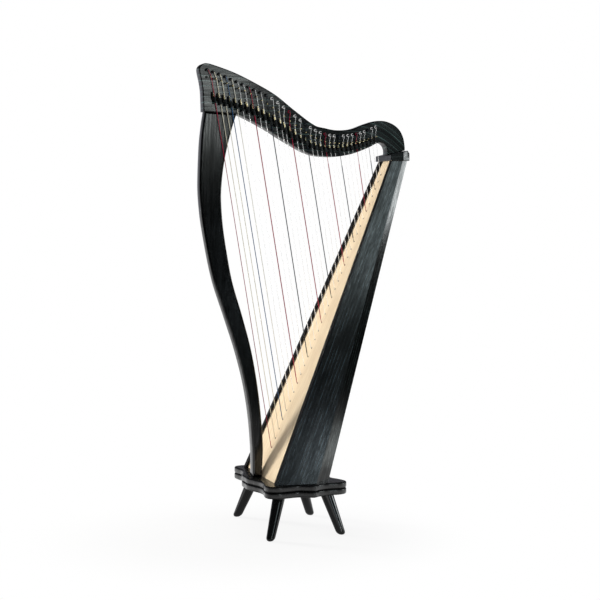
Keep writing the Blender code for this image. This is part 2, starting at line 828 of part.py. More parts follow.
def winding(number):
    # Turns round the tuning pin, from the side where the string arrives towards the neck.
    radius = string_radius(number)
    centre = tuning_pin_place(number)
    coil = (tuning_pin_radius + fit_gap + radius) / cos(pi / winding_points)
    pitch = 2 * radius + winding_gap
    count = ceil(winding_turns * winding_points)
    points = []
    for i in range(count + 1):
        angle = pi - 2 * pi * i / winding_points
        points.append(centre + Vector((coil * cos(angle), pitch * i / winding_points, coil * sin(angle))))
    return points


def string_route(number):
    # Route and radii: knot, rib, grommet, bridge pin, tuning pin.
    radius = string_radius(number)
    foot = foot_distance(number)
    rib_back = board_inset_middle + board_thickness + rib_thickness + 2 * fit_gap + knot_length * 0.5
    points = [on_board(foot, depth=rib_back + knot_length), on_board(foot, depth=rib_back + knot_length / 2),
              on_board(foot, depth=rib_back), string_exit(number), string_at_pin(number)]
    radii = [radius, knot_radius, radius, radius, radius]
    turns = winding(number)
    eye = turns[-1].lerp(tuning_pin_place(number) + Vector((0, turns[-1].y - string_y, 0)), 0.7)
    return points + turns + [eye], radii + [radius] * (len(turns) + 1)


def least_self_gap(points, radius):
    # Least surface distance between stretches at least half a turn apart, on points along the winding.
    samples = []
    for start, end in zip(points, points[1:]):
        samples += [start.lerp(end, i / 6) for i in range(6)]
    apart = 6 * winding_points // 2
    gaps = []
    for i, here in enumerate(samples):
        gaps += [(here - there).length for there in samples[i + apart:]]
    return min(gaps) - 2 * radius


def add_tube(bm, points, radii, sides):
    # An unbroken tube whose sections turn with the route as little as they can.
    count = len(points)
    across = None
    rings = []
    for i in range(count):
        ahead = (points[min(i + 1, count - 1)] - points[i]).normalized() if i < count - 1 else None
        behind = (points[i] - points[i - 1]).normalized() if i > 0 else ahead
        ahead = ahead if ahead is not None else behind
        tangent = (ahead + behind).normalized()
        if across is None:
            across = tangent.orthogonal().normalized()
        across = (across - tangent * across.dot(tangent)).normalized()
        up = tangent.cross(across)
        rings.append([points[i] + radii[i] * (cos(a) * across + sin(a) * up)
                      for a in (2 * pi * k / sides for k in range(sides))])
    add_rings(bm, rings)


def make_string_set():
    # The strings are knotted behind the rib and run through the eyes of their tuning pins.
    bm = bmesh.new()
    thick = board_depth(rib_thickness)
    low = box_bottom + bottom_block_height + fit_gap
    high = box_top - top_block_height - fit_gap
    add_loft(bm, lambda z: rectangle(board_back(z, True), board_back(z, True) + thick,
                                     -rib_half_width, rib_half_width), low, high)
    string_set = add_object(bm, "string_set", pale_string)
    strings = bmesh.new()
    gaps = []
    for number in numbers():
        points, radii = string_route(number)
        add_tube(strings, points, radii, string_sides)
        gaps.append(least_self_gap(winding(number), string_radius(number)))
    print(f"least gap between turns of a winding: {min(gaps) * 1000:.2f} mm")
    assert min(gaps) > least_winding_gap
    cut_or_join(string_set, strings, "UNION")
    pins = bmesh.new()
    add_tuning_pins(pins)
    cut_or_join(string_set, pins, "UNION")


# Sharping levers

def base_above(number):
    # The bases of the shortest strings end just below the bridge pin.
    to_pin = (string_at_pin(number) - lever_contact(number)).length
    longest = long_base_above if number <= long_lever_count else short_base_above
    return min(longest, to_pin - bridge_pin_radius - base_pin_gap)


def lever_reach(number):
    return long_lever_reach if number <= long_lever_count else short_lever_reach


def lever_frame(number):
    # Local axes of a lever: x across the string, z along it, y as the harp's, at the neck's face.
    contact = lever_contact(number)
    return Matrix.Translation((contact.x, 0, contact.z)) @ Matrix.Rotation(-string_lean(number), 4, "Y")


def base_mesh(number):
    # Foot plate and upright ear in one bent section, drawn across the string.
    face = -neck_face + base_root
    top = lever_axis_y() - lever_hub_radius
    step = -neck_face - base_plate_thickness
    ear = base_left + base_ear_thickness
    section = ((base_left, face), (base_right, face), (base_right, step), (ear, step), (ear, top), (base_left, top))
    low, high = -base_below, base_above(number)
    rings = []
    for z, slant in ((low, -low - lever_hub_radius), (high, lever_hub_radius - high)):
        rings.append([Vector((x, y, z + (slant if y == top else 0))) for x, y in section])
    bm = bmesh.new()
    add_rings(bm, rings)
    bmesh.ops.triangulate(bm, faces=bm.faces[:], ngon_method="EAR_CLIP")
    return bm


def base_additions(number):
    # Axle and fret of one base, as closed pieces that reach into it.
    bm = bmesh.new()
    ear = base_left + base_ear_thickness
    add_turned(bm, (ear - base_ear_thickness / 2, lever_axis_y(), 0), (1, 0, 0),
               ((0, lever_axle_radius), (lever_right - ear + base_ear_thickness / 2, lever_axle_radius)), pin_sides)
    fret_top = string_y * (1 - lever_contact_share) + string_radius(1) + fret_clearance
    add_block(bm, (-fret_right, fret_top, -fret_half_height),
              (fret_right, -neck_face + base_root / 2, fret_half_height))
    return bm


def add_lever_pieces(bm, make):
    # One piece of each base, made at its own string.
    for number in numbers():
        piece = make(number)
        piece.transform(lever_frame(number))
        mesh = bpy.data.meshes.new("piece")
        piece.to_mesh(mesh)
        piece.free()
        bm.from_mesh(mesh)
        bpy.data.meshes.remove(mesh)


def lever_outline(reach):
    # Side view of a lever about its axle: u along the string, v away from the neck.
    hub, lobe = lever_hub_radius, lever_lobe_radius
    points = [(hub * cos(a), hub * sin(a)) for a in (radians(d) for d in (-100, -60))]
    points += [(lobe * cos(a), lobe * sin(a)) for a in (radians(d) for d in (-18, 10, 38))]
    points += [(hub * cos(radians(80)), hub * sin(radians(80)))]
    out = Vector((-cos(lever_rest_tilt), sin(lever_rest_tilt)))
    side = Vector((out.y, -out.x))
    half = lever_handle_thickness / 2
    centre = side * (hub - half)
    points += [tuple(centre + out * (reach * 0.5) + side * half), tuple(centre + out * reach + side * half * 0.4),
               tuple(centre + out * reach - side * half * 0.6), tuple(centre + out * (hub * 1.2) - side * half)]
    points += [(hub * cos(radians(-150)), hub * sin(radians(-150)))]
    return points


def make_lever(number):
    reach = lever_reach(number)
    left = base_left + base_ear_thickness + lever_ear_gap
    bm = bmesh.new()
    rings = [[Vector((x, -v, u)) for u, v in lever_outline(reach)] for x in (left, lever_right)]
    add_rings(bm, rings)
    lever = add_object(bm, f"lever_{number:02d}", gloss_black)
    frame = lever_frame(number)
    lever.location = frame @ Vector((0, lever_axis_y(), 0))
    lever.rotation_euler = frame.to_euler()
    bore = (lever_axle_radius + fit_gap) / cos(pi / pin_sides)
    cutter = bmesh.new()
    add_turned(cutter, (left - base_ear_thickness, 0, 0), (1, 0, 0),
               ((0, bore), (lever_right - left + 2 * base_ear_thickness, bore)), pin_sides)
    cut_or_join(lever, cutter, "DIFFERENCE")
    guide = lever.modifiers[-1].object
    guide.location = lever.location
    guide.rotation_euler = lever.rotation_euler


def main():
    make_stand()
    make_walls()
    make_soundboard()
    make_inner_frame()
    make_braces()
    make_cap()
    make_neck()
    make_pillar()
    make_string_set()
    for number in numbers():
        make_lever(number)
    bpy.context.view_layer.update()


main()
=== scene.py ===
# Lever harp: the finishes, the strings and the fittings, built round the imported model.
# Metres. Pieces are drawn with x from the drawing's zero near the head's front, as the harp was laid out.

import json
from math import acos, atan2, ceil, cos, hypot, pi, radians, sin, sqrt, tan

import bmesh
import bpy
from mathutils import Euler, Matrix, Vector


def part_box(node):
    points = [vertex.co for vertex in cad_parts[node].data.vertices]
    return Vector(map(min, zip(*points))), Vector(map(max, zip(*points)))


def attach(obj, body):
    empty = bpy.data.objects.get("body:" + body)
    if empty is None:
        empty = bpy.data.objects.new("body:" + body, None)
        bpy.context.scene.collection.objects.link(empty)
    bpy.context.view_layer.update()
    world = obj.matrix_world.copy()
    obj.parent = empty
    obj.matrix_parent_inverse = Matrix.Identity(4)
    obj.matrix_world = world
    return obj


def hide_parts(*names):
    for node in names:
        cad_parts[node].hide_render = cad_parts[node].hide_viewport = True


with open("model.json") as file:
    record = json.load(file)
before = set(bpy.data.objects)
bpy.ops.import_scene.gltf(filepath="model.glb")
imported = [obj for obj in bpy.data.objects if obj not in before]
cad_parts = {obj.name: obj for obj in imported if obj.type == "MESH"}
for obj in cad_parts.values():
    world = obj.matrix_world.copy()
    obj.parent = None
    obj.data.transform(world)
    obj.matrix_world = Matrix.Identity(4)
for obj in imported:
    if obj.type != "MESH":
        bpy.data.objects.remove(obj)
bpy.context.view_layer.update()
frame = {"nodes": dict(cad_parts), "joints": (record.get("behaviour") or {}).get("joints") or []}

print("frame loaded:", len(frame["nodes"]), "nodes")


# Places shared by several pieces

neckShape = {
    "headAndTop": (  # drawn with z from the pillar joint
        (-0.0093, 0.0029), (-0.0103, 0.0379), (-0.0118, 0.0683), (-0.0164, 0.0983), (-0.0218, 0.1230),
        (-0.0219, 0.1365), (-0.0135, 0.1472), (0.0010, 0.1505), (0.0269, 0.1446), (0.0899, 0.1232),
        (0.1533, 0.0940), (0.2173, 0.0592), (0.2817, 0.0106), (0.3467, -0.0342), (0.3794, -0.0424),
        (0.4121, -0.0480), (0.4450, -0.0473), (0.4780, -0.0412), (0.5111, -0.0288), (0.5443, -0.0183),
        (0.5610, -0.0168), (0.5777, -0.0178), (0.5944, -0.0226), (0.6112, -0.0308), (0.6281, -0.0464),
        (0.6399, -0.0699), (0.6450, -0.0983), (0.6451, -0.1094),
    ),
    "archAndUnderside": (
        (0.5857, -0.1242), (0.5863, -0.1147), (0.5846, -0.1037), (0.5796, -0.0943), (0.5712, -0.0875),
        (0.5612, -0.0854), (0.5479, -0.0890), (0.5279, -0.0996), (0.4782, -0.1190), (0.4452, -0.1271),
        (0.4122, -0.1315), (0.3794, -0.1312), (0.3467, -0.1280), (0.3142, -0.1175), (0.2494, -0.0834),
        (0.1851, -0.0453), (0.1213, -0.0133), (0.0959, -0.0030),
    ),
    "face": 0.023,
    "edgeRound": 0.0030,
    "spacing": 0.0025,
}

pillarShape = {  # x at shares of the pillar's height
    "height": 1.1317,
    "halfThickness": 0.020,
    "edgeRound": 0.0055,
    "spacing": 0.006,
    "boardClearance": 0.0008,
    "front": (
        (0.000, 0.1458), (0.077, 0.1448), (0.170, 0.1363), (0.262, 0.1192), (0.353, 0.0926),
        (0.445, 0.0588), (0.550, 0.0203), (0.689, -0.0106), (0.758, -0.0196), (0.810, -0.0218),
        (0.914, -0.0171), (0.965, -0.0107), (1.000, -0.0044),
    ),
    "back": (
        (0.077, 0.1792), (0.168, 0.1729), (0.261, 0.1601), (0.353, 0.1410), (0.444, 0.1136),
        (0.539, 0.0819), (0.619, 0.0646), (0.695, 0.0521), (0.765, 0.0469), (0.810, 0.0490),
        (0.852, 0.0545), (0.900, 0.0647), (0.956, 0.0810), (1.000, 0.0958),
    ),
}

gap = 0.0003
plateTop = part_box("base_plate")[1].z
jointZ = plateTop + pillarShape["height"]
boxBottom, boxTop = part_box("soundboard")[0].z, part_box("soundboard")[1].z

boxShape = {
    "footX": 0.1718, "topX": neckShape["archAndUnderside"][0][0] + 0.0011,
    "halfWidth": (0.198, 0.0669), "sideDepth": (0.1285, 0.0347), "bevelDepth": (0.0444, 0.0184),
    "slant": 0.54, "wall": 0.011, "insetMiddle": 0.0035, "board": 0.004,
}
boxLean = atan2(boxShape["topX"] - boxShape["footX"], boxTop - boxBottom)
boardUp = Vector((sin(boxLean), 0, cos(boxLean)))
boardIn = Vector((cos(boxLean), 0, -sin(boxLean)))
boardLength = (boxTop - boxBottom) / cos(boxLean)

stringing = {
    "count": 34, "sides": 10, "standOff": 0.008, "bassThickness": 0.0015, "trebleThickness": 0.00065,
    "firstFoot": 0.0957, "lastMargin": 0.0446, "spacingRatio": 1.30, "fuller": 0.00033,
    "knotRoom": 0.004, "corner": 0.0016, "coloured": 0.00050,
    "clearOfBoard": (0.005, 0.010), "clearOfLever": (0.064, 0.072),
    "keys": (1, 4, 8, 12, 16, 20, 24, 29, 34),
    "bridgePins": (
        (0.0108, 0.1092), (0.0626, 0.0906), (0.1369, 0.0601), (0.2087, 0.0184), (0.2810, -0.0345),
        (0.3476, -0.0739), (0.4080, -0.0887), (0.4805, -0.0832), (0.5451, -0.0667),
    ),
    "tuningPins": (  # ahead of and above their bridge pins
        (0.0109, 0.0211), (0.0063, 0.0197), (0.0079, 0.0197), (0.0032, 0.0276), (0.0016, 0.0279),
        (0.0017, 0.0239), (0.0000, 0.0224), (0.0000, 0.0235), (0.0014, 0.0298),
    ),
    "bridgeWaist": 0.0014, "bridgeHead": 0.0020, "tuningRadius": 0.0025,
    "grommet": 0.001, "grommetRadius": 0.0026, "grommetHole": 0.0012, "grommetSunk": 0.00005,
    "grommetSides": 20,
    # Black discs on the neck's face below the first tuning pins.
    "lastBlackDisc": 8, "blackDiscRadius": 0.0036,
    "ribThickness": 0.005, "ribHalfWidth": 0.010, "ribShoulder": (0.7, 0.85),
}
stringY = -(neckShape["face"] + stringing["standOff"])
numbers = range(1, stringing["count"] + 1)


# Curves and solids

def along(keys, t):
    # Smooth curve through keys of (parameter, value ...), with chord tangents.
    index = max(i for i in range(len(keys) - 1) if t >= keys[i][0] or i == 0)

    def tangent(i):
        before, after = keys[max(i - 1, 0)], keys[min(i + 1, len(keys) - 1)]
        return [(b - a) / (after[0] - before[0]) for a, b in zip(before[1:], after[1:])]

    start, end = keys[index], keys[index + 1]
    span = end[0] - start[0]
    s = (t - start[0]) / span
    values = []
    for a, b, m, n in zip(start[1:], end[1:], tangent(index), tangent(index + 1)):
        first = (2 * s**3 - 3 * s**2 + 1) * a + (s**3 - 2 * s**2 + s) * span * m
        values.append(first + (3 * s**2 - 2 * s**3) * b + (s**3 - s**2) * span * n)
    return values


def fineLine(points, spacing):
    # The smooth line through the points, sampled closely.
    keys = [(0.0, *points[0])]
    for before, after in zip(points, points[1:]):
        keys.append((keys[-1][0] + hypot(after[0] - before[0], after[1] - before[1]), *after))
    line = []
    for before, after in zip(keys, keys[1:]):
        count = max(2, ceil((after[0] - before[0]) / spacing))
        step = after[0] - before[0]
        line += [Vector(along(keys, before[0] + step * i / count)) for i in range(count)]
    return line + [Vector(points[-1])]


headFront = min(point.x for point in fineLine(neckShape["headAndTop"], neckShape["spacing"]))
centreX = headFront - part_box("neck")[0].x


def mirrored(points):
    # The points on the harp's other side, in the opposite order.
    return [Vector((p.x, -p.y)) for p in reversed(points)]


def roundAngles(count):
    return [2 * pi * i / count for i in range(count)]


def cornerSides(outline, i):
    # The directions of the outline before and after a corner.
    after = outline[(i + 1) % len(outline)] - outline[i]
    return (outline[i] - outline[i - 1]).normalized(), after.normalized()


def insetOutline(outline, distance, least=0.5):
    # The outline, which runs anticlockwise, moved inwards. The least cosine keeps sharp corners near.
    result = []
    for i in range(len(outline)):
        before, after = cornerSides(outline, i)
        inward = Vector((-before.y - after.y, before.x + after.x)).normalized()
        half = max(inward.dot(Vector((-before.y, before.x))), least)
        result.append(outline[i] + inward * distance / half)
    return result


def clearCorners(outline, reach, sharp=radians(25), steepest=2.4, spare=1.2):
    # Leaves out the points beside a sharp corner that a rounding of this reach would fold over.
    # The turns are in radians.
    count = len(outline)
    dropped = set()
    for i in range(count):
        before, after = cornerSides(outline, i)
        turn = acos(max(-1, min(1, before.dot(after))))
        if turn < sharp:
            continue
        for step in (-1, 1):
            j = (i + step) % count
            while (outline[j] - outline[i]).length < spare * reach * tan(min(turn, steepest) / 2):
                dropped.add(j)
                j = (j + step) % count
    return [p for i, p in enumerate(outline) if i not in dropped]


def anticlockwise(outline):
    area = sum(a.x * b.y - b.x * a.y for a, b in zip(outline, outline[1:] + outline[:1]))
    return outline if area > 0 else list(reversed(outline))


def addRings(bm, rings, capped=True, smooth=True):
    # Skin through rings with as many points each. The ends stay flat shaded.
    loops = [[bm.verts.new(point) for point in ring] for ring in rings]
    count = len(loops[0])
    for low, high in zip(loops, loops[1:]):
        for i in range(count):
            j = (i + 1) % count
            bm.faces.new((low[i], low[j], high[j], high[i])).smooth = smooth
    if capped:
        bm.faces.new(list(reversed(loops[0])))
        bm.faces.new(loops[-1])


def roundedSlab(bm, outline, low, high, radius, place, steps=4):
    # An extruded outline with rounded edges. place turns (u, v, w) into a point.
    outline = clearCorners(anticlockwise(outline), radius)
    levels = []
    for i in range(steps + 1):
        angle = pi / 2 * i / steps
        levels.append((radius * (1 - sin(angle)), radius * (1 - cos(angle))))
    insets = [(insetOutline(outline, inset) if inset > 1e-9 else outline, rise) for inset, rise in levels]
    rings = [[place(p.x, p.y, low + rise) for p in ring] for ring, rise in insets]
    rings += [[place(p.x, p.y, high - rise) for p in ring] for ring, rise in reversed(insets)]
    addRings(bm, rings)


def upright(u, v, w):
    return Vector((u, w, v))


def level(u, v, w):
    return Vector((u, v, w))


def ringPoints(centre, axis, radius, sides, turn=0.0):
    axis = Vector(axis).normalized()
    helper = Vector((0, 1, 0)) if abs(axis.y) < 0.9 else Vector((1, 0, 0))
    across = axis.cross(helper).normalized()
    up = axis.cross(across)
    return [Vector(centre) + radius * (cos(a) * across + sin(a) * up)
            for a in (turn + angle for angle in roundAngles(sides))]


def addTurned(bm, start, axis, profile, sides=24, turn=0.0):
    # A turned piece: profile holds (distance along the axis, radius).
    axis = Vector(axis).normalized()
    addRings(bm, [ringPoints(Vector(start) + axis * d, axis, r, sides, turn) for d, r in profile])


def addTube(bm, points, radii, sides):
    count = len(points)
    across = None
    rings = []
    for i in range(count):
        ahead = (points[min(i + 1, count - 1)] - points[max(i - 1, 0)]).normalized()
        if across is None:
            across = ahead.orthogonal().normalized()
        across = (across - ahead * across.dot(ahead)).normalized()
        up = ahead.cross(across)
        rings.append([points[i] + radii[i] * (cos(a) * across + sin(a) * up) for a in roundAngles(sides)])
    addRings(bm, rings)


def meshOf(bm, name):
    mesh = bpy.data.meshes.new(name)
    bm.to_mesh(mesh)
    bm.free()
    return mesh


def addObject(name, data):
    thing = bpy.data.objects.new(name, data)
    bpy.context.scene.collection.objects.link(thing)
    return thing


def shaded(bm, name, sharp):
    # The drawing as a mesh: smooth up to the sharp angle, with the faces drawn flat left flat.
    bmesh.ops.recalc_face_normals(bm, faces=bm.faces)
    bm.faces.index_update()
    flat = [face.index for face in bm.faces if not face.smooth]
    mesh = meshOf(bm, name)
    mesh.set_sharp_from_angle(angle=radians(sharp))
    for index in flat:
        mesh.polygons[index].use_smooth = False
    return mesh


def addPiece(name, bm, material, stands=(), drawn=True, sharp=38):
    # Turns a drawing into a piece that rides on the harp and stands for CAD nodes.
    if drawn:
        bmesh.ops.translate(bm, verts=bm.verts, vec=(-centreX, 0, 0))
    mesh = shaded(bm, name, sharp)
    mesh.materials.append(material)
    piece = addObject(name, mesh)
    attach(piece, "harp")
    if stands:
        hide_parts(*stands)
    return piece


# Materials

def setInputs(node, values):
    for key, value in values.items():
        node.inputs[key].default_value = value


def newMaterial(name, values):
    material = bpy.data.materials.new(name)
    material.use_nodes = True
    shader = material.node_tree.nodes["Principled BSDF"]
    setInputs(shader, values)
    return material, shader


def addNode(tree, kind, values=None, **settings):
    node = tree.nodes.new("ShaderNode" + kind)
    for key, value in settings.items():
        setattr(node, key, value)
    setInputs(node, values or {})
    return node


def join(source, output, target, socket):
    source.id_data.links.new(source.outputs[output], target.inputs[socket])


def maths(tree, operation, *terms):
    # A Math node and its output. Each term is a number, or a node and its output.
    node = addNode(tree, "Math", operation=operation)
    for i, term in enumerate(terms):
        if isinstance(term, tuple):
            join(*term, node, i)
        else:
            node.inputs[i].default_value = term
    return node, "Value"


def mapped(source, output, values, interpolation="LINEAR"):
    # Reads a value between the first two values as one between the last two.
    names = ("From Min", "From Max", "To Min", "To Max")
    node = addNode(source.id_data, "MapRange", dict(zip(names, values)), interpolation_type=interpolation)
    join(source, output, node, "Value")
    return node, "Result"


def ramp(source, stops):
    # A colour ramp with stops of (position, colour).
    node = addNode(source.id_data, "ValToRGB")
    elements = node.color_ramp.elements
    while len(elements) < len(stops):
        elements.new(0.5)
    for element, (position, colour) in zip(elements, stops):
        element.position = position
        element.color = (*colour, 1)
    join(source, "Fac", node, "Fac")
    return node


def greyRamp(source, stops):
    return ramp(source, [(position, (grey,) * 3) for position, grey in stops])


def product(first, *others):
    # Colour ramps multiplied with each other: the last node and its output.
    result = (first, "Color")
    for other in others:
        node = addNode(first.id_data, "Mix", {0: 1.0}, data_type="RGBA", blend_type="MULTIPLY")
        join(*result, node, 6)
        join(other, "Color", node, 7)
        result = (node, 2)
    return result


def bent(place, start, curve):
    # Lets the grain fall away beyond x = start, as in wood cut from a curved plank.
    tree = place.id_data
    split = addNode(tree, "SeparateXYZ")
    join(place, "Object", split, "Vector")
    past = maths(tree, "MAXIMUM", maths(tree, "SUBTRACT", (split, "X"), start), 0.0)
    lift = maths(tree, "MULTIPLY", maths(tree, "POWER", past, 2.0), curve)
    whole = addNode(tree, "CombineXYZ")
    join(split, "X", whole, "X")
    join(split, "Y", whole, "Y")
    join(*maths(tree, "ADD", lift, (split, "Z")), whole, "Z")
    return whole


def grainSpace(shader, turn=(0, 0, 0), stretch=1, bend=None):
    # The piece's own space, turned so that the grain runs along x and is drawn out by stretch.
    tree = shader.id_data
    place = addNode(tree, "TexCoord")
    spin = addNode(tree, "Mapping", {"Rotation": Euler([radians(a) for a in turn])})
    pull = addNode(tree, "Mapping", {"Scale": (1 / stretch, 1, 1)})
    if bend:
        join(bent(place, *bend), "Vector", spin, "Vector")
    else:
        join(place, "Object", spin, "Vector")
    join(spin, "Vector", pull, "Vector")
    return pull


def noise(space, scale, detail=2.0, roughness=0.5, distortion=0.0):
    node = addNode(space.id_data, "TexNoise", {
        "Scale": scale, "Detail": detail, "Roughness": roughness, "Distortion": distortion})
    join(space, "Vector", node, "Vector")
    return node


def bands(space, profile, values):
    node = addNode(space.id_data, "TexWave", values, bands_direction="Z", wave_profile=profile)
    join(space, "Vector", node, "Vector")
    return node


def paint(shader, source, stops):
    join(ramp(source, stops), "Color", shader, "Base Color")


def polish(shader, source, roughness, smoother, rougher):
    values = (0.3, 0.7, roughness - smoother, roughness + rougher)
    join(*mapped(source, "Fac", values), shader, "Roughness")


def emboss(shader, source, output, strength, distance):
    relief = addNode(source.id_data, "Bump", {"Strength": strength, "Distance": distance})
    join(source, output, relief, "Height")
    join(relief, "Normal", shader, "Normal")


stain = {
    "deep": (0.0010, 0.0013, 0.0014), "line": (0.040, 0.050, 0.050), "pore": (0.0004, 0.0005, 0.0006),
    "ringGap": 0.0085, "ringStretch": 16, "ringPlaces": (0.0, 0.68, 0.86, 0.96), "faintShare": 1 / 25,
    "ringWander": {"Distortion": 4.0, "Detail": 3.0, "Detail Scale": 0.45, "Detail Roughness": 0.6},
    "streakWidth": 0.0024, "streakStretch": 34, "streakTone": ((0.40, 0.3), (0.64, 1.15)),
    "patchWidth": 0.018, "patchStretch": 6, "patchTone": ((0.38, 0.3), (0.60, 1.3)),
    "poreWidth": 0.0009, "poreStretch": 26, "poreFill": ((0.38, 0.0), (0.48, 1.0)),
    "ringGloss": ((0.0, 0.60), (0.60, 0.66), (0.84, 0.85), (0.96, 0.45)),
    "streakGloss": ((0.36, 0.60), (0.62, 1.0)), "patchGloss": ((0.36, 0.62), (0.60, 1.0)),
    "roughness": (0.40, 0.64, 0.16, 0.10), "streakRelief": 0.45, "relief": (0.12, 0.00015),
}
bandScale = 0.314  # of the band texture with bands one metre apart


def stainedWood(name, turn, tint=(1, 1, 1), lines=1.0, ringGap=stain["ringGap"], bend=None):
    # Open-pored wood, stained black. Growth lines stay lighter, and the pores break the sheen.
    material, shader = newMaterial(name, {})

    def grain(kind, detail, roughness=0.5):
        space = grainSpace(shader, turn, stain[kind + "Stretch"], bend)
        return noise(space, 1 / stain[kind + "Width"], detail, roughness)

    rings = bands(grainSpace(shader, turn, stain["ringStretch"], bend), "SAW",
                  {"Scale": bandScale / ringGap, **stain["ringWander"]})
    streaks, pores, patches = grain("streak", 3.0, 0.6), grain("pore", 2.0), grain("patch", 2.0)
    deep = [c * t for c, t in zip(stain["deep"], tint)]
    line = [c * t * lines for c, t in zip(stain["line"], tint)]
    faint = [a + (b - a) * stain["faintShare"] for a, b in zip(deep, line)]
    growth = ramp(rings, list(zip(stain["ringPlaces"], (deep, faint, line, deep))))
    broken = greyRamp(streaks, stain["streakTone"])
    clouded = greyRamp(patches, stain["patchTone"])
    filled = greyRamp(pores, stain["poreFill"])
    colour = addNode(shader.id_data, "Mix", {6: (*stain["pore"], 1)}, data_type="RGBA")
    join(filled, "Color", colour, 0)
    join(*product(growth, broken, clouded), colour, 7)
    join(colour, 2, shader, "Base Color")
    join(*mapped(streaks, "Fac", stain["roughness"]), shader, "Roughness")
    height = addNode(shader.id_data, "Mix", {0: stain["streakRelief"]}, data_type="RGBA")
    join(filled, "Color", height, 6)
    join(broken, "Color", height, 7)
    emboss(shader, height, 2, *stain["relief"])
    gloss = (greyRamp(rings, stain["ringGloss"]), greyRamp(streaks, stain["streakGloss"]),
             greyRamp(patches, stain["patchGloss"]))
    join(*product(*gloss), shader, "Specular IOR Level")
    return material


lacquer = {
    "colour": (0.0022, 0.0024, 0.0026), "brushed": (0.0060, 0.0064, 0.0068),
    "stretch": 14, "grainScale": 420, "rippleScale": 60, "relief": (0.25, 0.00004),
}


def blackLacquer(name, turn, roughness):
    # Black lacquer over wood: a smooth film with a trace of the grain under it.
    material, shader = newMaterial(name, {})
    space = grainSpace(shader, turn, lacquer["stretch"])
    grain = noise(space, lacquer["grainScale"], 4.0)
    ripple = noise(space, lacquer["rippleScale"])
    paint(shader, grain, ((0.35, lacquer["colour"]), (0.70, lacquer["brushed"])))
    polish(shader, ripple, roughness, 0.04, 0.05)
    emboss(shader, grain, "Fac", *lacquer["relief"])
    return material


spruce = {
    "early": (0.82, 0.685, 0.495), "late": (0.69, 0.52, 0.325), "ringScale": 420, "ringStretch": 60,
    "silkScale": 38, "silkStretch": 2,
    "silkTone": ((0.30, (0.94, 0.92, 0.89)), (0.70, (1.04, 1.04, 1.04))),
    "finish": {"Roughness": 0.6, "Specular IOR Level": 0.25}, "relief": (0.2, 0.00005),
}


def paleSpruce(name, turn):
    # Quarter-sawn soundboard wood: straight fine rings with faint cross silk.
    material, shader = newMaterial(name, spruce["finish"])
    rings = noise(grainSpace(shader, turn, spruce["ringStretch"]), spruce["ringScale"], 2.0, 0.45)
    silkSpace = grainSpace(shader, turn, spruce["silkStretch"])
    silk = noise(silkSpace, spruce["silkScale"], 5.0, distortion=0.3)
    lines = ramp(rings, ((0.40, spruce["early"]), (0.74, spruce["late"])))
    join(*product(lines, ramp(silk, spruce["silkTone"])), shader, "Base Color")
    emboss(shader, rings, "Fac", *spruce["relief"])
    return material


bare = {"stretch": 16, "scale": 260, "finish": {"Roughness": 0.7}, "relief": (0.3, 0.0001)}


def plainWood(name, turn, light, dark):
    # Unfinished wood inside the soundbox.
    material, shader = newMaterial(name, bare["finish"])
    grain = noise(grainSpace(shader, turn, bare["stretch"]), bare["scale"], 5.0, distortion=0.4)
    paint(shader, grain, ((0.32, light), (0.72, dark)))
    emboss(shader, grain, "Fac", *bare["relief"])
    return material


turned = {"marks": 900, "patches": 112.5}


def metal(name, colour, worn, roughness):
    # Metal with fine turning marks and duller patches.
    material, shader = newMaterial(name, {"Metallic": 1.0})
    space = grainSpace(shader)
    paint(shader, noise(space, turned["patches"]), ((0.35, colour), (0.75, worn)))
    polish(shader, noise(space, turned["marks"], 3.0), roughness, 0.06, 0.08)
    return material


spark = {"scale": 2600, "lighter": 1.5, "specular": 0.25, "relief": (0.15, 0.00004)}


def moulded(name, colour, roughness):
    # Moulded plastic with a fine spark texture.
    finish = {"Specular IOR Level": spark["specular"], "Roughness": roughness}
    material, shader = newMaterial(name, finish)
    grain = noise(grainSpace(shader), spark["scale"])
    paint(shader, grain, ((0.3, colour), (0.8, [c * spark["lighter"] for c in colour])))
    emboss(shader, grain, "Fac", *spark["relief"])
    return material


nylon = {"stretch": 20, "scale": 300, "lighter": 1.12, "roughness": 0.25, "ior": 1.53}


def monofilament(name, colour, clarity=0.0, paintedGlow=0.0):
    # Drawn nylon, slightly cloudy. The painted glow is an emission that stands in for the backdrop's light
    # spread in the string.
    material, shader = newMaterial(name, {
        "Emission Color": (1, 1, 1, 1), "Emission Strength": paintedGlow, "Transmission Weight": clarity,
        "Roughness": nylon["roughness"], "IOR": nylon["ior"]})
    cloud = noise(grainSpace(shader, (0, 90, 0), nylon["stretch"]), nylon["scale"])
    paint(shader, cloud, ((0.3, colour), (0.7, [min(1, c * nylon["lighter"]) for c in colour])))
    return material


winding = {"turns": {"Scale": 620.0, "Distortion": 0.2}, "roughness": 0.35, "relief": (0.5, 0.0001)}


def wound(name, colour, groove):
    # A string wound with fine wire: turns across its length.
    material, shader = newMaterial(name, {"Roughness": winding["roughness"]})
    wire = bands(grainSpace(shader), "SIN", winding["turns"])
    paint(shader, wire, ((0.15, groove), (0.6, colour)))
    emboss(shader, wire, "Fac", *winding["relief"])
    return material


alongBoard = (0, 90 - boxLean * 180 / pi, 0)


def leanAt(*depths):
    # The lean of the box's corner line, or of its back, in degrees.
    rise = boxShape["topX"] - boxShape["footX"]
    for depth in ("sideDepth",) + depths:
        rise += boxShape[depth][1] - boxShape[depth][0]
    return atan2(rise, boxTop - boxBottom) * 180 / pi


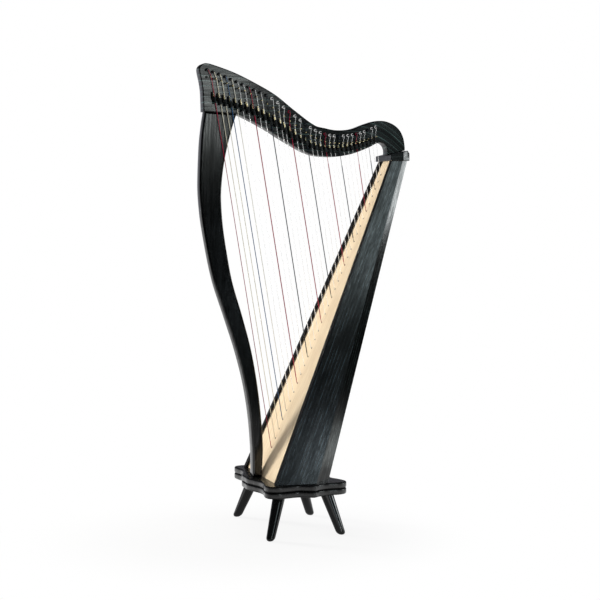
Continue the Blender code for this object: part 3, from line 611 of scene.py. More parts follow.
neckWood = stainedWood("neckStain", (0, -2, 0), tint=(0.66, 1.0, 0.93), lines=2.8, ringGap=0.0165,
                       bend=(0.18, 3.3))
pillarWood = stainedWood("pillarStain", (0, 88, 0), tint=(0.85, 1.0, 1.05), lines=0.3)
sideWood = stainedWood("sideStain", alongBoard, tint=(0.66, 1.0, 1.30), ringGap=0.0105)
bevelWood = stainedWood("bevelStain", (0, 90 - leanAt(), 0), tint=(0.80, 1.05, 1.0), lines=0.9)
backWood = stainedWood("backStain", (90, 0, 90 - leanAt("bevelDepth")), lines=0.8)
capWood = stainedWood("capStain", (0, 5, 0), tint=(0.85, 1.05, 1.0), lines=0.6)
plateLacquer = blackLacquer("plateLacquer", (0, 0, 90), 0.28)
legLacquer = blackLacquer("legLacquer", (0, 90, 0), 0.13)
boardSpruce = paleSpruce("boardSpruce", alongBoard)
blockWood = plainWood("blockWood", (0, 0, 90), (0.52, 0.36, 0.21), (0.38, 0.24, 0.13))
liningWood = plainWood("liningWood", alongBoard, (0.55, 0.39, 0.23), (0.40, 0.26, 0.14))
ribWood = plainWood("ribWood", alongBoard, (0.42, 0.26, 0.14), (0.27, 0.16, 0.08))
brass = metal("polishedBrass", (0.95, 0.80, 0.42), (0.85, 0.68, 0.32), 0.28)
pinSteel = metal("bluedSteel", (0.045, 0.046, 0.052), (0.085, 0.085, 0.09), 0.30)
brightSteel = metal("brightSteel", (0.62, 0.62, 0.62), (0.50, 0.50, 0.50), 0.28)
leverBlack = moulded("leverBlack", (0.002, 0.002, 0.0022), 0.30)
# Black of the board's edge strips, partly painted shade.
edgeBlackAndPaintedShade = moulded("edgeBlackAndPaintedShade", (0.002, 0.0022, 0.0022), 0.5)
earBlack = moulded("earBlack", (0.002, 0.002, 0.0022), 0.42)
grommetBrown = moulded("grommetBrown", (0.030, 0.016, 0.010), 0.45)
stringFinish = {
    "red": monofilament("redString", (0.36, 0.006, 0.040)),
    "blue": monofilament("blueString", (0.012, 0.080, 0.210)),
    "navy": monofilament("navyString", (0.004, 0.010, 0.024)),
    # The clear strings carry a little painted glow.
    "clear": monofilament("clearString", (0.96, 0.96, 0.95), 0.80, paintedGlow=0.07),
    "bronze": wound("bronzeString", (0.95, 0.90, 0.74), (0.76, 0.68, 0.48)),
    "cream": wound("creamString", (0.96, 0.93, 0.82), (0.82, 0.77, 0.62)),
    "winding": wound("windingBlack", (0.006, 0.006, 0.007), (0.002, 0.002, 0.002)),
}
print("materials made")


# Neck and pillar

def neckOutline():
    top = fineLine(neckShape["headAndTop"], neckShape["spacing"])
    under = fineLine(neckShape["archAndUnderside"], neckShape["spacing"])
    return [Vector((p.x, jointZ + p.y)) for p in top + under]


def makeNeck():
    bm = bmesh.new()
    roundedSlab(bm, neckOutline(), -neckShape["face"], neckShape["face"], neckShape["edgeRound"], upright)
    addPiece("neckBeam", bm, neckWood, stands=["neck"])


def jointLine(x):
    start, end = Vector(neckShape["headAndTop"][0]), Vector(neckShape["archAndUnderside"][-1])
    return jointZ + start.y + (end.y - start.y) / (end.x - start.x) * (x - start.x)


def makePillar():
    foot = plateTop + gap
    height = pillarShape["height"]
    front = [(x, foot + share * height) for share, x in pillarShape["front"]]
    footBack = boxShape["footX"] + boxShape["insetMiddle"] / cos(boxLean) - pillarShape["boardClearance"]
    back = [(footBack, foot)] + [(x, foot + share * height) for share, x in pillarShape["back"]]
    for edge in (front, back):
        edge[-1] = (edge[-1][0], jointLine(edge[-1][0]) - gap)
    spacing = pillarShape["spacing"]
    outline = fineLine(front, spacing) + list(reversed(fineLine(back, spacing)))
    bm = bmesh.new()
    half = pillarShape["halfThickness"]
    roundedSlab(bm, outline, -half, half, pillarShape["edgeRound"], upright)
    addPiece("pillarColumn", bm, pillarWood, stands=["pillar"])


makeNeck()
makePillar()
print("neck and pillar made")


# Soundbox

def between(pair, z):
    return pair[0] + (pair[1] - pair[0]) * (z - boxBottom) / (boxTop - boxBottom)


def boxFront(z):
    return between((boxShape["footX"], boxShape["topX"]), z)


def boxSection(z, overhang=0.0):
    half = between(boxShape["halfWidth"], z) + overhang
    front = boxFront(z) - overhang
    corner = boxFront(z) + between(boxShape["sideDepth"], z)
    back = corner + between(boxShape["bevelDepth"], z) + overhang
    rearHalf = half - boxShape["slant"] * (back - corner)
    left = [Vector((front, -half)), Vector((corner, -half)), Vector((back, -rearHalf))]
    return left + mirrored(left)


capShape = {
    "overhang": 0.007, "rearDrop": 0.009, "rearChamfer": 0.008, "edge": 0.0012, "steps": 3,
    "flatArea": 0.0003,  # larger faces stay flat
}


def makeCap():
    # The cap's top follows the neck's seat. Its rear edge drops away.
    seatFront, seatBack = Vector(neckShape["archAndUnderside"][0]), Vector(neckShape["headAndTop"][-1])
    slope = (seatBack.y - seatFront.y) / (seatBack.x - seatFront.x)
    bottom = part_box("soundbox_cap")[0].z
    section = boxSection(bottom, capShape["overhang"])
    chamferX = section[2].x - capShape["rearChamfer"]
    chamferHalf = -section[2].y + boxShape["slant"] * capShape["rearChamfer"]
    left = [section[0], section[1], Vector((chamferX, -chamferHalf)), section[2]]
    ring = left + mirrored(left)

    def seatZ(x):
        return jointZ + seatFront.y - gap + slope * (x - seatFront.x)

    tops = [seatZ(p.x) for p in left]
    tops[-1] = seatZ(chamferX) - capShape["rearDrop"]
    tops += list(reversed(tops))
    bm = bmesh.new()
    lower = [bm.verts.new((p.x, p.y, bottom)) for p in ring]
    upper = [bm.verts.new((p.x, p.y, z)) for p, z in zip(ring, tops)]
    for i in range(len(ring)):
        j = (i + 1) % len(ring)
        bm.faces.new((lower[i], lower[j], upper[j], upper[i]))
    bm.faces.new(list(reversed(lower)))
    bm.faces.new(upper[:3] + upper[5:])
    bm.faces.new(upper[2:6])
    bmesh.ops.bevel(bm, geom=bm.edges[:], offset=capShape["edge"], segments=capShape["steps"], profile=0.5,
                    affect="EDGES")
    for face in bm.faces:
        face.smooth = face.calc_area() < capShape["flatArea"]
    addPiece("soundboxCap", bm, capWood, stands=["soundbox_cap"], sharp=30)


backHoles = {  # each hole's share of the box's height, and its half width and length
    "places": ((0.22, 0.050, 0.070), (0.47, 0.040, 0.058), (0.70, 0.028, 0.046)),
    "sides": 64, "reach": 3, "edge": 0.0012, "edgeSteps": 3, "edgeAngle": 50, "sharp": 25,
}


def makeBack():
    # The back panel, with smooth oval holes cut level through it.
    wall = boxShape["wall"]
    past = backHoles["reach"] * wall
    bm = bmesh.new()
    rings = []
    for z in (boxBottom, boxTop):
        outer, trim = boxSection(z), Vector((0, gap / 2))
        inner = insetOutline(outer, wall)
        section = (outer[2] + trim, outer[3] - trim, inner[3] - trim, inner[2] + trim)
        rings.append([Vector((p.x, p.y, z)) for p in section])
    addRings(bm, rings, smooth=False)
    panel = addPiece("backPanel", bm, backWood, stands=["back_panel"])
    cutter = bmesh.new()
    for share, halfWidth, halfLength in backHoles["places"]:
        z = boxBottom + share * (boxTop - boxBottom)
        back = boxSection(z)[2].x
        addRings(cutter, [[Vector((x, halfWidth * cos(a), z + halfLength * sin(a)))
                           for a in roundAngles(backHoles["sides"])] for x in (back - past, back + past)])
    cutPiece(panel, cutter)


def cutPiece(piece, cutter):
    # Cuts a drawn shape out of a piece and rounds the edges that are left.
    bmesh.ops.translate(cutter, verts=cutter.verts, vec=(-centreX, 0, 0))
    bmesh.ops.recalc_face_normals(cutter, faces=cutter.faces)
    guide = addObject("cutter", meshOf(cutter, "cutter"))
    cut = piece.modifiers.new("Cut", "BOOLEAN")
    cut.object = guide
    cut.operation = "DIFFERENCE"
    soft = piece.modifiers.new("Soft", "BEVEL")
    soft.width = backHoles["edge"]
    soft.segments = backHoles["edgeSteps"]
    soft.limit_method = "ANGLE"
    soft.angle_limit = radians(backHoles["edgeAngle"])
    bpy.context.view_layer.update()
    shaped = bpy.data.meshes.new_from_object(piece.evaluated_get(bpy.context.evaluated_depsgraph_get()))
    piece.modifiers.clear()
    piece.data = shaped
    for polygon in shaped.polygons:
        polygon.use_smooth = True
    shaped.set_sharp_from_angle(angle=radians(backHoles["sharp"]))
    bpy.data.objects.remove(guide)


# The board's edge strips: their black is partly painted shade along the board's edges.
edgeStripShape = {"width": 0.023, "depth": 0.003, "proud": 0.0005}


def makeEdgeStripsAndShade():
    # Black strips along both edges of the soundboard, over the side panels' front edges. On those edges
    # the black is the panels' own; where the strips reach onto the board it is painted shade.
    width = edgeStripShape["width"]
    proud, depth = edgeStripShape["proud"] / cos(boxLean), edgeStripShape["depth"] / cos(boxLean)
    bm = bmesh.new()
    for side in (-1, 1):
        rings = []
        for z in (boxBottom + gap, boxTop - gap):
            outer = side * (between(boxShape["halfWidth"], z) - gap)
            inner = outer - side * width
            front = boxFront(z) - proud
            back = front + depth
            section = ((front, outer), (front, inner), (back, inner), (back, outer))
            rings.append([Vector((x, y, z)) for x, y in section])
        addRings(bm, rings, smooth=False)
    addPiece("boardEdgeStripsAndShade", bm, edgeBlackAndPaintedShade)


makeCap()
makeBack()
makeEdgeStripsAndShade()
for material, names in (
    (sideWood, ("side_panel_left", "side_panel_right")),
    (bevelWood, ("back_bevel_left", "back_bevel_right")),
    (boardSpruce, ("soundboard",)), (liningWood, ("lining_left", "lining_right")),
    (blockWood, ("bottom_block", "top_block", "brace_lower", "brace_upper")),
):
    for name in names:
        mesh = frame["nodes"][name].data
        mesh.materials.clear()
        mesh.materials.append(material)
print("soundbox made")


# Stand

plateShape = {
    "outline": (
        (0.123, 0.0), (0.1235, 0.034), (0.134, 0.070), (0.1445, 0.104), (0.1465, 0.140), (0.141, 0.172),
        (0.1395, 0.195), (0.148, 0.216), (0.174, 0.2252), (0.206, 0.2185), (0.240, 0.2115),
        (0.262, 0.2205), (0.285, 0.229), (0.306, 0.2135), (0.334, 0.2005), (0.374, 0.197),
        (0.397, 0.184), (0.405, 0.162), (0.394, 0.124), (0.380, 0.092), (0.388, 0.045), (0.396, 0.0),
    ),
    "edgeRound": 0.0045,
    "spacing": 0.003,
}


def makePlates():
    line = fineLine(plateShape["outline"], plateShape["spacing"])
    outline = line + mirrored(line[1:-1])
    for name, node in (("basePlate", "base_plate"), ("standPlate", "stand_plate")):
        low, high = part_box(node)
        bm = bmesh.new()
        roundedSlab(bm, outline, low.z, high.z, plateShape["edgeRound"], level, steps=5)
        addPiece(name, bm, plateLacquer, stands=[node])


legShape = {
    "footRadius": 0.0130, "toeRadius": 0.0020, "topRadius": 0.0195, "toeRise": 0.012,
    "toeSteps": 8, "steps": 6, "sides": 48,
    # Where each pair's feet stand, and how far it leans in x and y per metre of height.
    "places": (("front", 0.1497, 0.2095, 0.334, 0.400), ("rear", 0.3891, 0.1692, -0.330, 0.179)),
}


def makeLegs():
    # Rings are level ellipses, so the leg is cut flat at the floor and under the plate.
    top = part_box("stand_plate")[0].z - gap
    toe, toeSteps, steps = legShape["toeRise"], legShape["toeSteps"], legShape["steps"]
    foot, spread = legShape["footRadius"], legShape["topRadius"] - legShape["footRadius"]
    heights = [toe * i / toeSteps for i in range(toeSteps)]
    heights += [toe + (top - toe) * i / steps for i in range(steps + 1)]
    for end, x, y, runX, runY in legShape["places"]:
        for side, sign in (("left", -1), ("right", 1)):
            run = Vector((runX, -sign * runY, 1))
            flow = Vector((run.x, run.y, 0)).normalized()
            across = Vector((-flow.y, flow.x, 0))
            rings = []
            for z in heights:
                radius = foot + spread * z / top
                if z < toe:
                    share = 1 - z / toe
                    radius -= (radius - legShape["toeRadius"]) * (1 - sqrt(1 - share * share))
                centre = Vector((x, sign * y, 0)) + run * z
                rings.append([centre + radius * (cos(a) * run.length * flow + sin(a) * across)
                              for a in roundAngles(legShape["sides"])])
            bm = bmesh.new()
            addRings(bm, rings)
            name = f"leg{end.title()}{side.title()}"
            addPiece(name, bm, legLacquer, stands=[f"leg_{end}_{side}"])


boltShape = {"headRadius": 0.0075, "head": 0.005, "shank": 0.004, "chamfer": 0.0008}


def makeBolts():
    head, radius, edge, shank = (boltShape[key] for key in ("head", "headRadius", "chamfer", "shank"))
    middle, up = Vector((0, 0, head * 0.5)), (0, 0, 1)
    for end in ("front", "rear"):
        for side in ("left", "right"):
            node, name = f"stand_bolt_{end}_{side}", f"standBolt{end.title()}{side.title()}"
            low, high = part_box(node)
            under = Vector(((low.x + high.x) / 2, (low.y + high.y) / 2, low.z))
            bm = bmesh.new()
            addTurned(bm, under, up, ((0, radius - edge), (edge, radius), (head, radius)), sides=6)
            addTurned(bm, under + middle, up, ((0, shank), (high.z - low.z - middle.z, shank)), sides=20)
            addPiece(name, bm, pinSteel, stands=[node], drawn=False, sharp=30)


makePlates()
makeLegs()
makeBolts()
print("stand made")


# Strings and pins

def footDistance(number):
    steps = stringing["count"] - 1
    total = boardLength - stringing["firstFoot"] - stringing["lastMargin"]
    lastGap = 2 * total / steps / (1 + stringing["spacingRatio"])
    firstGap = lastGap * stringing["spacingRatio"]
    passed = number - 1
    return stringing["firstFoot"] + firstGap * passed - (firstGap - lastGap) * passed**2 / (2 * steps)


ribFront = boxShape["insetMiddle"] + boxShape["board"] + gap
ribBack = ribFront + stringing["ribThickness"]


def onBoard(distance, depth):
    return Vector((boxShape["footX"], 0, boxBottom)) + boardUp * distance + boardIn * depth


def stringRadius(number):
    share = (number - 1) / (stringing["count"] - 1)
    bass, treble = stringing["bassThickness"], stringing["trebleThickness"]
    return (bass + (treble - bass) * share) / 2


def drawnRadius(number):
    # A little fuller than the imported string, so that it shows at the photo's size.
    return stringRadius(number) + stringing["fuller"]


def atString(number, places):
    return along([(key, *place) for key, place in zip(stringing["keys"], places)], number)


def bridgePin(number):
    x, z = atString(number, stringing["bridgePins"])
    return Vector((x, stringY, jointZ + z))


def tuningPin(number):
    ahead, above = atString(number, stringing["tuningPins"])
    return bridgePin(number) + Vector((-ahead, 0, above))


def stringExit(number):
    lift = gap * 2 + stringing["grommet"] + stringRadius(1)
    return onBoard(footDistance(number), boxShape["insetMiddle"] - lift)


def stringAtPin(number):
    below = bridgePin(number) - stringExit(number)
    above = tuningPin(number) - Vector((stringing["tuningRadius"], 0, 0)) - bridgePin(number)
    side = 1 if above.x / above.z < below.x / below.z else -1
    reach = stringing["bridgeWaist"] + gap + stringRadius(number)
    return bridgePin(number) + Vector((side * reach, 0, 0))


def softened(points, reach, steps=4):
    # Rounds each inner corner of a route over the given reach.
    result = [points[0]]
    for before, corner, after in zip(points, points[1:], points[2:]):
        start = corner + (before - corner).normalized() * min(reach, (before - corner).length / 2)
        end = corner + (after - corner).normalized() * min(reach, (after - corner).length / 2)
        for i in range(steps + 1):
            t = i / steps
            result.append(start.lerp(corner, t).lerp(corner.lerp(end, t), t))
    return result + [points[-1]]


coilShape = {  # thick strings end in dark windings
    "turns": 3, "perTurn": 20, "spread": 0.00012, "lastDark": 11, "clearance": 0.00005, "neckRoom": 0.002,
}


def coil(number):
    # Turns round the tuning pin, from the side where the string arrives towards the neck.
    radius = drawnRadius(number)
    centre = tuningPin(number)
    reach = stringing["tuningRadius"] + coilShape["clearance"] + radius
    pitch = 2 * radius + coilShape["spread"]
    rounds = min(coilShape["turns"], (stringing["standOff"] - coilShape["neckRoom"]) / pitch)
    sides = coilShape["perTurn"]
    points = []
    for i in range(int(rounds * sides) + 1):
        angle = 2 * pi * i / sides
        points.append(centre + Vector((reach * cos(angle), pitch * i / sides, reach * sin(angle))))
    return points


def stringLead(number):
    # The string's route and radii. A coloured string is fuller in its free length.
    foot = footDistance(number)
    behind = ribBack + gap + stringing["knotRoom"]
    start, low, high = onBoard(foot, behind), stringExit(number), stringAtPin(number)
    up = (high - low).normalized()
    thinLow, thickLow = (low + up * d for d in stringing["clearOfBoard"])
    thinHigh, thickHigh = (high - up * d for d in stringing["clearOfLever"])
    corners = [start, low, thinLow, thickLow, thickHigh, thinHigh, high, coil(number)[0]]
    points = softened(corners, stringing["corner"])
    extra = 0.0
    if stringFinishOf(number) in ("red", "blue", "navy"):
        extra = stringing["coloured"] * min(1.0, (number - 1) / 7)
    plain = drawnRadius(number)
    return points, [plain + (extra if thickLow.z <= p.z <= thickHigh.z else 0.0) for p in points]


def stringFinishOf(number):
    if number % 7 == 1:
        return "red"
    if number % 7 == 4:
        return "blue" if number == 4 else "navy"
    if number < 4:
        return "bronze"
    return "cream" if number == 5 else "clear"


knotShape = {  # behind, reach and depth are in string radii
    "steps": 24, "sides": 8, "behind": 2.4, "reach": 1.9, "swell": 0.25, "depth": 0.9,
}


def addKnot(bm, number):
    # An overhand knot drawn as a plump bead with two crossing turns.
    radius = stringRadius(number)
    centre = onBoard(footDistance(number), ribBack + knotShape["behind"] * radius)
    loop = []
    for i in range(knotShape["steps"] + 1):
        a = 2 * pi * i / knotShape["steps"]
        reach = knotShape["reach"] * radius * (1 + knotShape["swell"] * cos(3 * a))
        depth = boardIn * (knotShape["depth"] * radius * sin(3 * a))
        loop.append(centre + depth + boardUp * (reach * cos(2 * a)) + Vector((0, reach * sin(2 * a), 0)))
    addTube(bm, loop, [radius] * len(loop), knotShape["sides"])


def makeStrings():
    drawings = {finish: bmesh.new() for finish in stringFinish}
    for number in numbers:
        bm, radius, sides = drawings[stringFinishOf(number)], drawnRadius(number), stringing["sides"]
        (lead, radii), turnsOnPin = stringLead(number), coil(number)
        if number > coilShape["lastDark"]:
            lead += turnsOnPin[1:]
        else:
            addTube(drawings["winding"], turnsOnPin, [radius] * len(turnsOnPin), sides)
        addTube(bm, lead, radii + [radius] * (len(lead) - len(radii)), sides)
        addKnot(bm, number)
    for finish, bm in drawings.items():
        addPiece("strings" + finish.title(), bm, stringFinish[finish], sharp=60)


pinShape = {  # profiles are distances along the pin, and shares of its radius
    "tuningAhead": 0.0068, "tuningTip": ((0, 0.55), (0.0003, 0.82), (0.0009, 0.96), (0.0018, 1)),
    "square": ((0, 0.98), (0.0125, 0.80), (0.0135, 0.62)), "squareInset": 0.0015,
    "roundEnd": (0.002, 0.97),
    "bridgeAhead": 0.0034,
    "bridgeTip": ((0, 0.15), (0.0001, 0.45), (0.0003, 0.72), (0.0007, 0.93), (0.0012, 1), (0.0020, 0.98)),
    "groove": ((0.0028, 1.05), (0.0034, 1), (0.0042, 1.05)), "bridgeFoot": ((0.0052, 0.95), (0.0060, 1)),
    "blackDisc": ((0, 0.6), (0.0003, 0.85), (0.0009, 1), (0.0031, 1)), "blackDiscOut": 0.0030, "blackDiscBelow": 0.0015,
}


def scaled(profile, radius):
    return [(distance, radius * share) for distance, share in profile]


def makePins():
    face, inward, radius = neckShape["face"], (0, 1, 0), stringing["tuningRadius"]
    head, waist = stringing["bridgeHead"], stringing["bridgeWaist"]
    reach = 2 * face + stringing["standOff"] + pinShape["tuningAhead"]
    past, share = pinShape["roundEnd"]
    rod = scaled(pinShape["tuningTip"], radius) + [(reach, radius), (reach + past, radius * share)]
    bridge = scaled(pinShape["bridgeTip"], head) + scaled(pinShape["groove"], waist)
    bridge += scaled(pinShape["bridgeFoot"], head)
    bridge.append((stringing["standOff"] + pinShape["bridgeAhead"], head))
    tuning, bridges, blackDiscs = bmesh.new(), bmesh.new(), bmesh.new()
    for number in numbers:
        tip, pin = tuningPin(number), bridgePin(number)
        start = Vector((tip.x, stringY - pinShape["tuningAhead"], tip.z))
        addTurned(tuning, start, inward, rod, sides=20)
        addTurned(tuning, start + Vector((0, reach + pinShape["squareInset"], 0)), inward,
                  scaled(pinShape["square"], radius), sides=4, turn=pi / 4)
        addTurned(bridges, (pin.x, stringY - pinShape["bridgeAhead"], pin.z), inward, bridge, sides=20)
        # Black discs on the neck's face, below the tuning pins and beside the first bridge pins.
        if number <= stringing["lastBlackDisc"]:
            addTurned(blackDiscs, (tip.x, -face - pinShape["blackDiscOut"], pin.z - pinShape["blackDiscBelow"]), inward,
                      scaled(pinShape["blackDisc"], stringing["blackDiscRadius"]))
    addPiece("tuningPins", tuning, pinSteel, sharp=30)
    addPiece("bridgePins", bridges, brass, sharp=30)
    addPiece("neckBlackDiscs", blackDiscs, leverBlack, sharp=30)


def makeRibAndGrommets():
    low = (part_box("bottom_block")[1].z - boxBottom + gap) / cos(boxLean)
    high = (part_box("top_block")[0].z - boxBottom - gap) / cos(boxLean)
    half, thick = stringing["ribHalfWidth"], stringing["ribThickness"]
    shoulder, top = thick * stringing["ribShoulder"][0], half * stringing["ribShoulder"][1]
    section = ((0, -half), (0, half), (shoulder, half), (thick, top), (thick, -top), (shoulder, -half))
    bm = bmesh.new()
    addRings(bm, [[onBoard(distance, ribFront + depth) + Vector((0, y, 0)) for depth, y in section]
                  for distance in (low, high)])
    addPiece("stringRib", bm, ribWood, stands=["string_set"], sharp=20)
    inner, outer, rise = stringing["grommetHole"], stringing["grommetRadius"], stringing["grommet"]
    profile = ((0, inner), (0, outer), (rise * 0.6, outer), (rise, outer * 0.8), (rise, inner * 1.25),
               (rise * 0.6, inner), (0, inner))
    sides = stringing["grommetSides"]
    bm = bmesh.new()
    for number in numbers:
        surface = onBoard(footDistance(number), boxShape["insetMiddle"] - stringing["grommetSunk"])
        rings = [ringPoints(surface - boardIn * d, -boardIn, r, sides) for d, r in profile]
        addRings(bm, rings, capped=False)
    bmesh.ops.remove_doubles(bm, verts=bm.verts, dist=0.00001)
    addPiece("grommets", bm, grommetBrown, sharp=40)


makeStrings()
makePins()
makeRibAndGrommets()
print("strings and pins made")


# Sharping levers

leverShape = {
    "longCount": 16, "longReach": 0.017, "shortReach": 0.0125, "hub": 0.0030, "lobe": 0.0043, "tilt": 8,
    "thickness": 0.0024, "left": -0.0061, "right": 0.0019, "edge": 0.0004,
    "share": 0.0561,  # of the string's free length, below its bridge pin
    # The handle's sides: shares of its reach and of half its thickness.
    "under": ((0.25, 0.85), (0.55, 0.7), (0.85, 0.75), (0.96, 0.5), (1.0, 0.0)),
    "over": ((0.97, 0.5), (0.88, 0.75), (0.55, 0.8), (0.28, 0.95)),
}
baseShape = {
    "left": -0.0086, "right": 0.0022, "below": 0.0055, "longAbove": 0.020, "shortAbove": 0.012,
    "pinGap": 0.0016, "plate": 0.0018, "corner": 0.0008, "edge": 0.00025, "ear": 0.0022,
    "overlap": 0.0003, "inset": 0.0001, "brassLeft": -0.0022, "brassBelow": 0.0030, "brass": 0.0006,
    "fretRadius": 0.0009, "fretClearance": 0.0010, "fretLeft": -0.0019,
    "fret": ((0, 0.8), (0.0003, 1), (0.0035, 1), (0.0038, 0.8)), "stem": (0.0017, 0.0006),
    "axle": 0.0011, "axleTip": 0.0008, "earArc": (20, 140, 8), "sides": 14,
    "screwX": -0.0006, "screwBelow": 0.0042, "screwRoom": 0.004, "screwInset": 0.0004, "screwSides": 16,
    "screw": ((0, 0.0016), (0.0007, 0.0016), (0.0010, 0.0012), (0.0011, 0.0005)),
}
hinges = {joint["child"]: joint for joint in frame["joints"]}


def leverMatrix(number, atFace=False):
    # A lever's own axes: x across the string, y as the harp's, z up the string.
    joint = hinges[f"lever_{number:02d}"]
    across = -Vector(joint["axis"])
    place = Vector(joint["pos_m"])
    if atFace:
        place.y = 0
    up = across.cross(Vector((0, 1, 0)))
    spin = Matrix((across, (0, 1, 0), up)).transposed().to_4x4()
    return Matrix.Translation(place) @ spin


def baseAbove(number):
    toPin = leverShape["share"] * (stringAtPin(number) - stringExit(number)).length
    longest = baseShape["longAbove" if number <= leverShape["longCount"] else "shortAbove"]
    return min(longest, toPin - stringing["bridgeHead"] - baseShape["pinGap"])


def sideways(u, v, w):
    # For outlines drawn from the side: u up the string, v away from the neck, w across.
    return Vector((w, -v, u))


def merge(bm, piece, matrix):
    piece.transform(matrix)
    mesh = meshOf(piece, "part")
    bm.from_mesh(mesh)
    bpy.data.meshes.remove(mesh)


def roundedBar(bm, low, high, corner):
    # A flat plate in x and z with rounded corners.
    left, right, bottom, top = low[0] + corner, high[0] - corner, low[2] + corner, high[2] - corner
    outline = []
    for x, z, start in ((right, top, 0), (left, top, 90), (left, bottom, 180), (right, bottom, 270)):
        for i in range(5):
            a = radians(start + 90 * i / 4)
            outline.append(Vector((x + corner * cos(a), z + corner * sin(a))))
    roundedSlab(bm, outline, low[1], high[1], min(baseShape["edge"], corner / 2), upright, steps=2)


def makeLeverBases():
    # Plates, frets on brass strips, ears, and axles with screws, each drawn in its lever's axes.
    left, right, below = baseShape["left"], baseShape["right"], baseShape["below"]
    overlap, inset, corner = baseShape["overlap"], baseShape["inset"], baseShape["corner"]
    strip, (stem, stemHalf), hub = baseShape["brass"], baseShape["stem"], leverShape["hub"]
    face, across = -neckShape["face"], (1, 0, 0)
    outer = face - baseShape["plate"]
    fretTop = stringY * (1 - leverShape["share"]) + stringRadius(1) + baseShape["fretClearance"]
    fretY = fretTop + baseShape["fretRadius"]
    tip, rod = baseShape["axleTip"], baseShape["axle"]
    axle = ((0, tip), (inset, rod), (right - left - inset, rod))
    earStart, earSpan, earSteps = baseShape["earArc"]
    earAngles = [radians(earStart + earSpan * i / earSteps) for i in range(earSteps + 1)]
    drawings = {kind: bmesh.new() for kind in ("Plates", "Frets", "Ears", "Screws")}
    for number in numbers:
        axisY = hinges[f"lever_{number:02d}"]["pos_m"][1]
        above = baseAbove(number)
        plate, fret, ear, screw = parts = [bmesh.new() for _ in drawings]
        roundedBar(plate, (left, outer + overlap, -below), (right, face + inset, above), corner)
        roundedBar(fret, (baseShape["brassLeft"], outer, -baseShape["brassBelow"]),
                   (right - inset, outer + strip, above - overlap), strip)
        addTurned(fret, (baseShape["fretLeft"], fretY, 0), across,
                  scaled(baseShape["fret"], baseShape["fretRadius"]), baseShape["sides"])
        roundedBar(fret, (-stem, fretY, -stemHalf), (stem, outer + overlap, stemHalf), stemHalf / 2)
        outline = [Vector((hub * cos(a), -axisY + hub * sin(a) - inset)) for a in earAngles]
        outline += [Vector((-below + corner, -outer)), Vector((above - corner, -outer))]
        roundedSlab(ear, outline, left + inset, left + baseShape["ear"], overlap, sideways, steps=2)
        addTurned(screw, (left + inset, axisY, 0), across, axle, baseShape["sides"])
        room = above - baseShape["screwBelow"]
        if room > baseShape["screwRoom"]:
            addTurned(screw, (baseShape["screwX"], outer + baseShape["screwInset"], room), (0, -1, 0),
                      baseShape["screw"], baseShape["screwSides"])
        for drawing, part in zip(drawings.values(), parts):
            merge(drawing, part, leverMatrix(number, atFace=True))
    materials = (earBlack, brass, earBlack, brightSteel)
    for (kind, drawing), material in zip(drawings.items(), materials):
        addPiece("lever" + kind, drawing, material, drawn=False, sharp=35)


def arc(radius, angles):
    return [Vector((radius * cos(radians(angle)), radius * sin(radians(angle)))) for angle in angles]


def leverOutline(reach):
    hub = leverShape["hub"]
    points = arc(hub, range(-150, -40, 12)) + arc(leverShape["lobe"], range(-22, 43, 8))
    points += arc(hub, (66, 80, 92))
    tilt = radians(leverShape["tilt"])
    out = Vector((-cos(tilt), sin(tilt)))
    side = Vector((out.y, -out.x))
    half = leverShape["thickness"] / 2
    centre = side * (hub - half)
    points += [centre + out * reach * share + side * half * width for share, width in leverShape["under"]]
    points += [centre + out * reach * share - side * half * width for share, width in leverShape["over"]]
    return points


def makeLevers():
    meshes = {}
    for number in numbers:
        node = f"lever_{number:02d}"
        reach = leverShape["longReach" if number <= leverShape["longCount"] else "shortReach"]
        if reach not in meshes:
            bm = bmesh.new()
            roundedSlab(bm, leverOutline(reach), leverShape["left"], leverShape["right"],
                        leverShape["edge"], sideways, steps=3)
            mesh = shaded(bm, "lever", 35)
            mesh.materials.append(leverBlack)
            meshes[reach] = mesh
        piece = addObject(f"lever{number:02d}", meshes[reach])
        piece.matrix_world = leverMatrix(number)
        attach(piece, node)
        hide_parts(node)


makeLeverBases()
makeLevers()
print("levers made")


# Studio

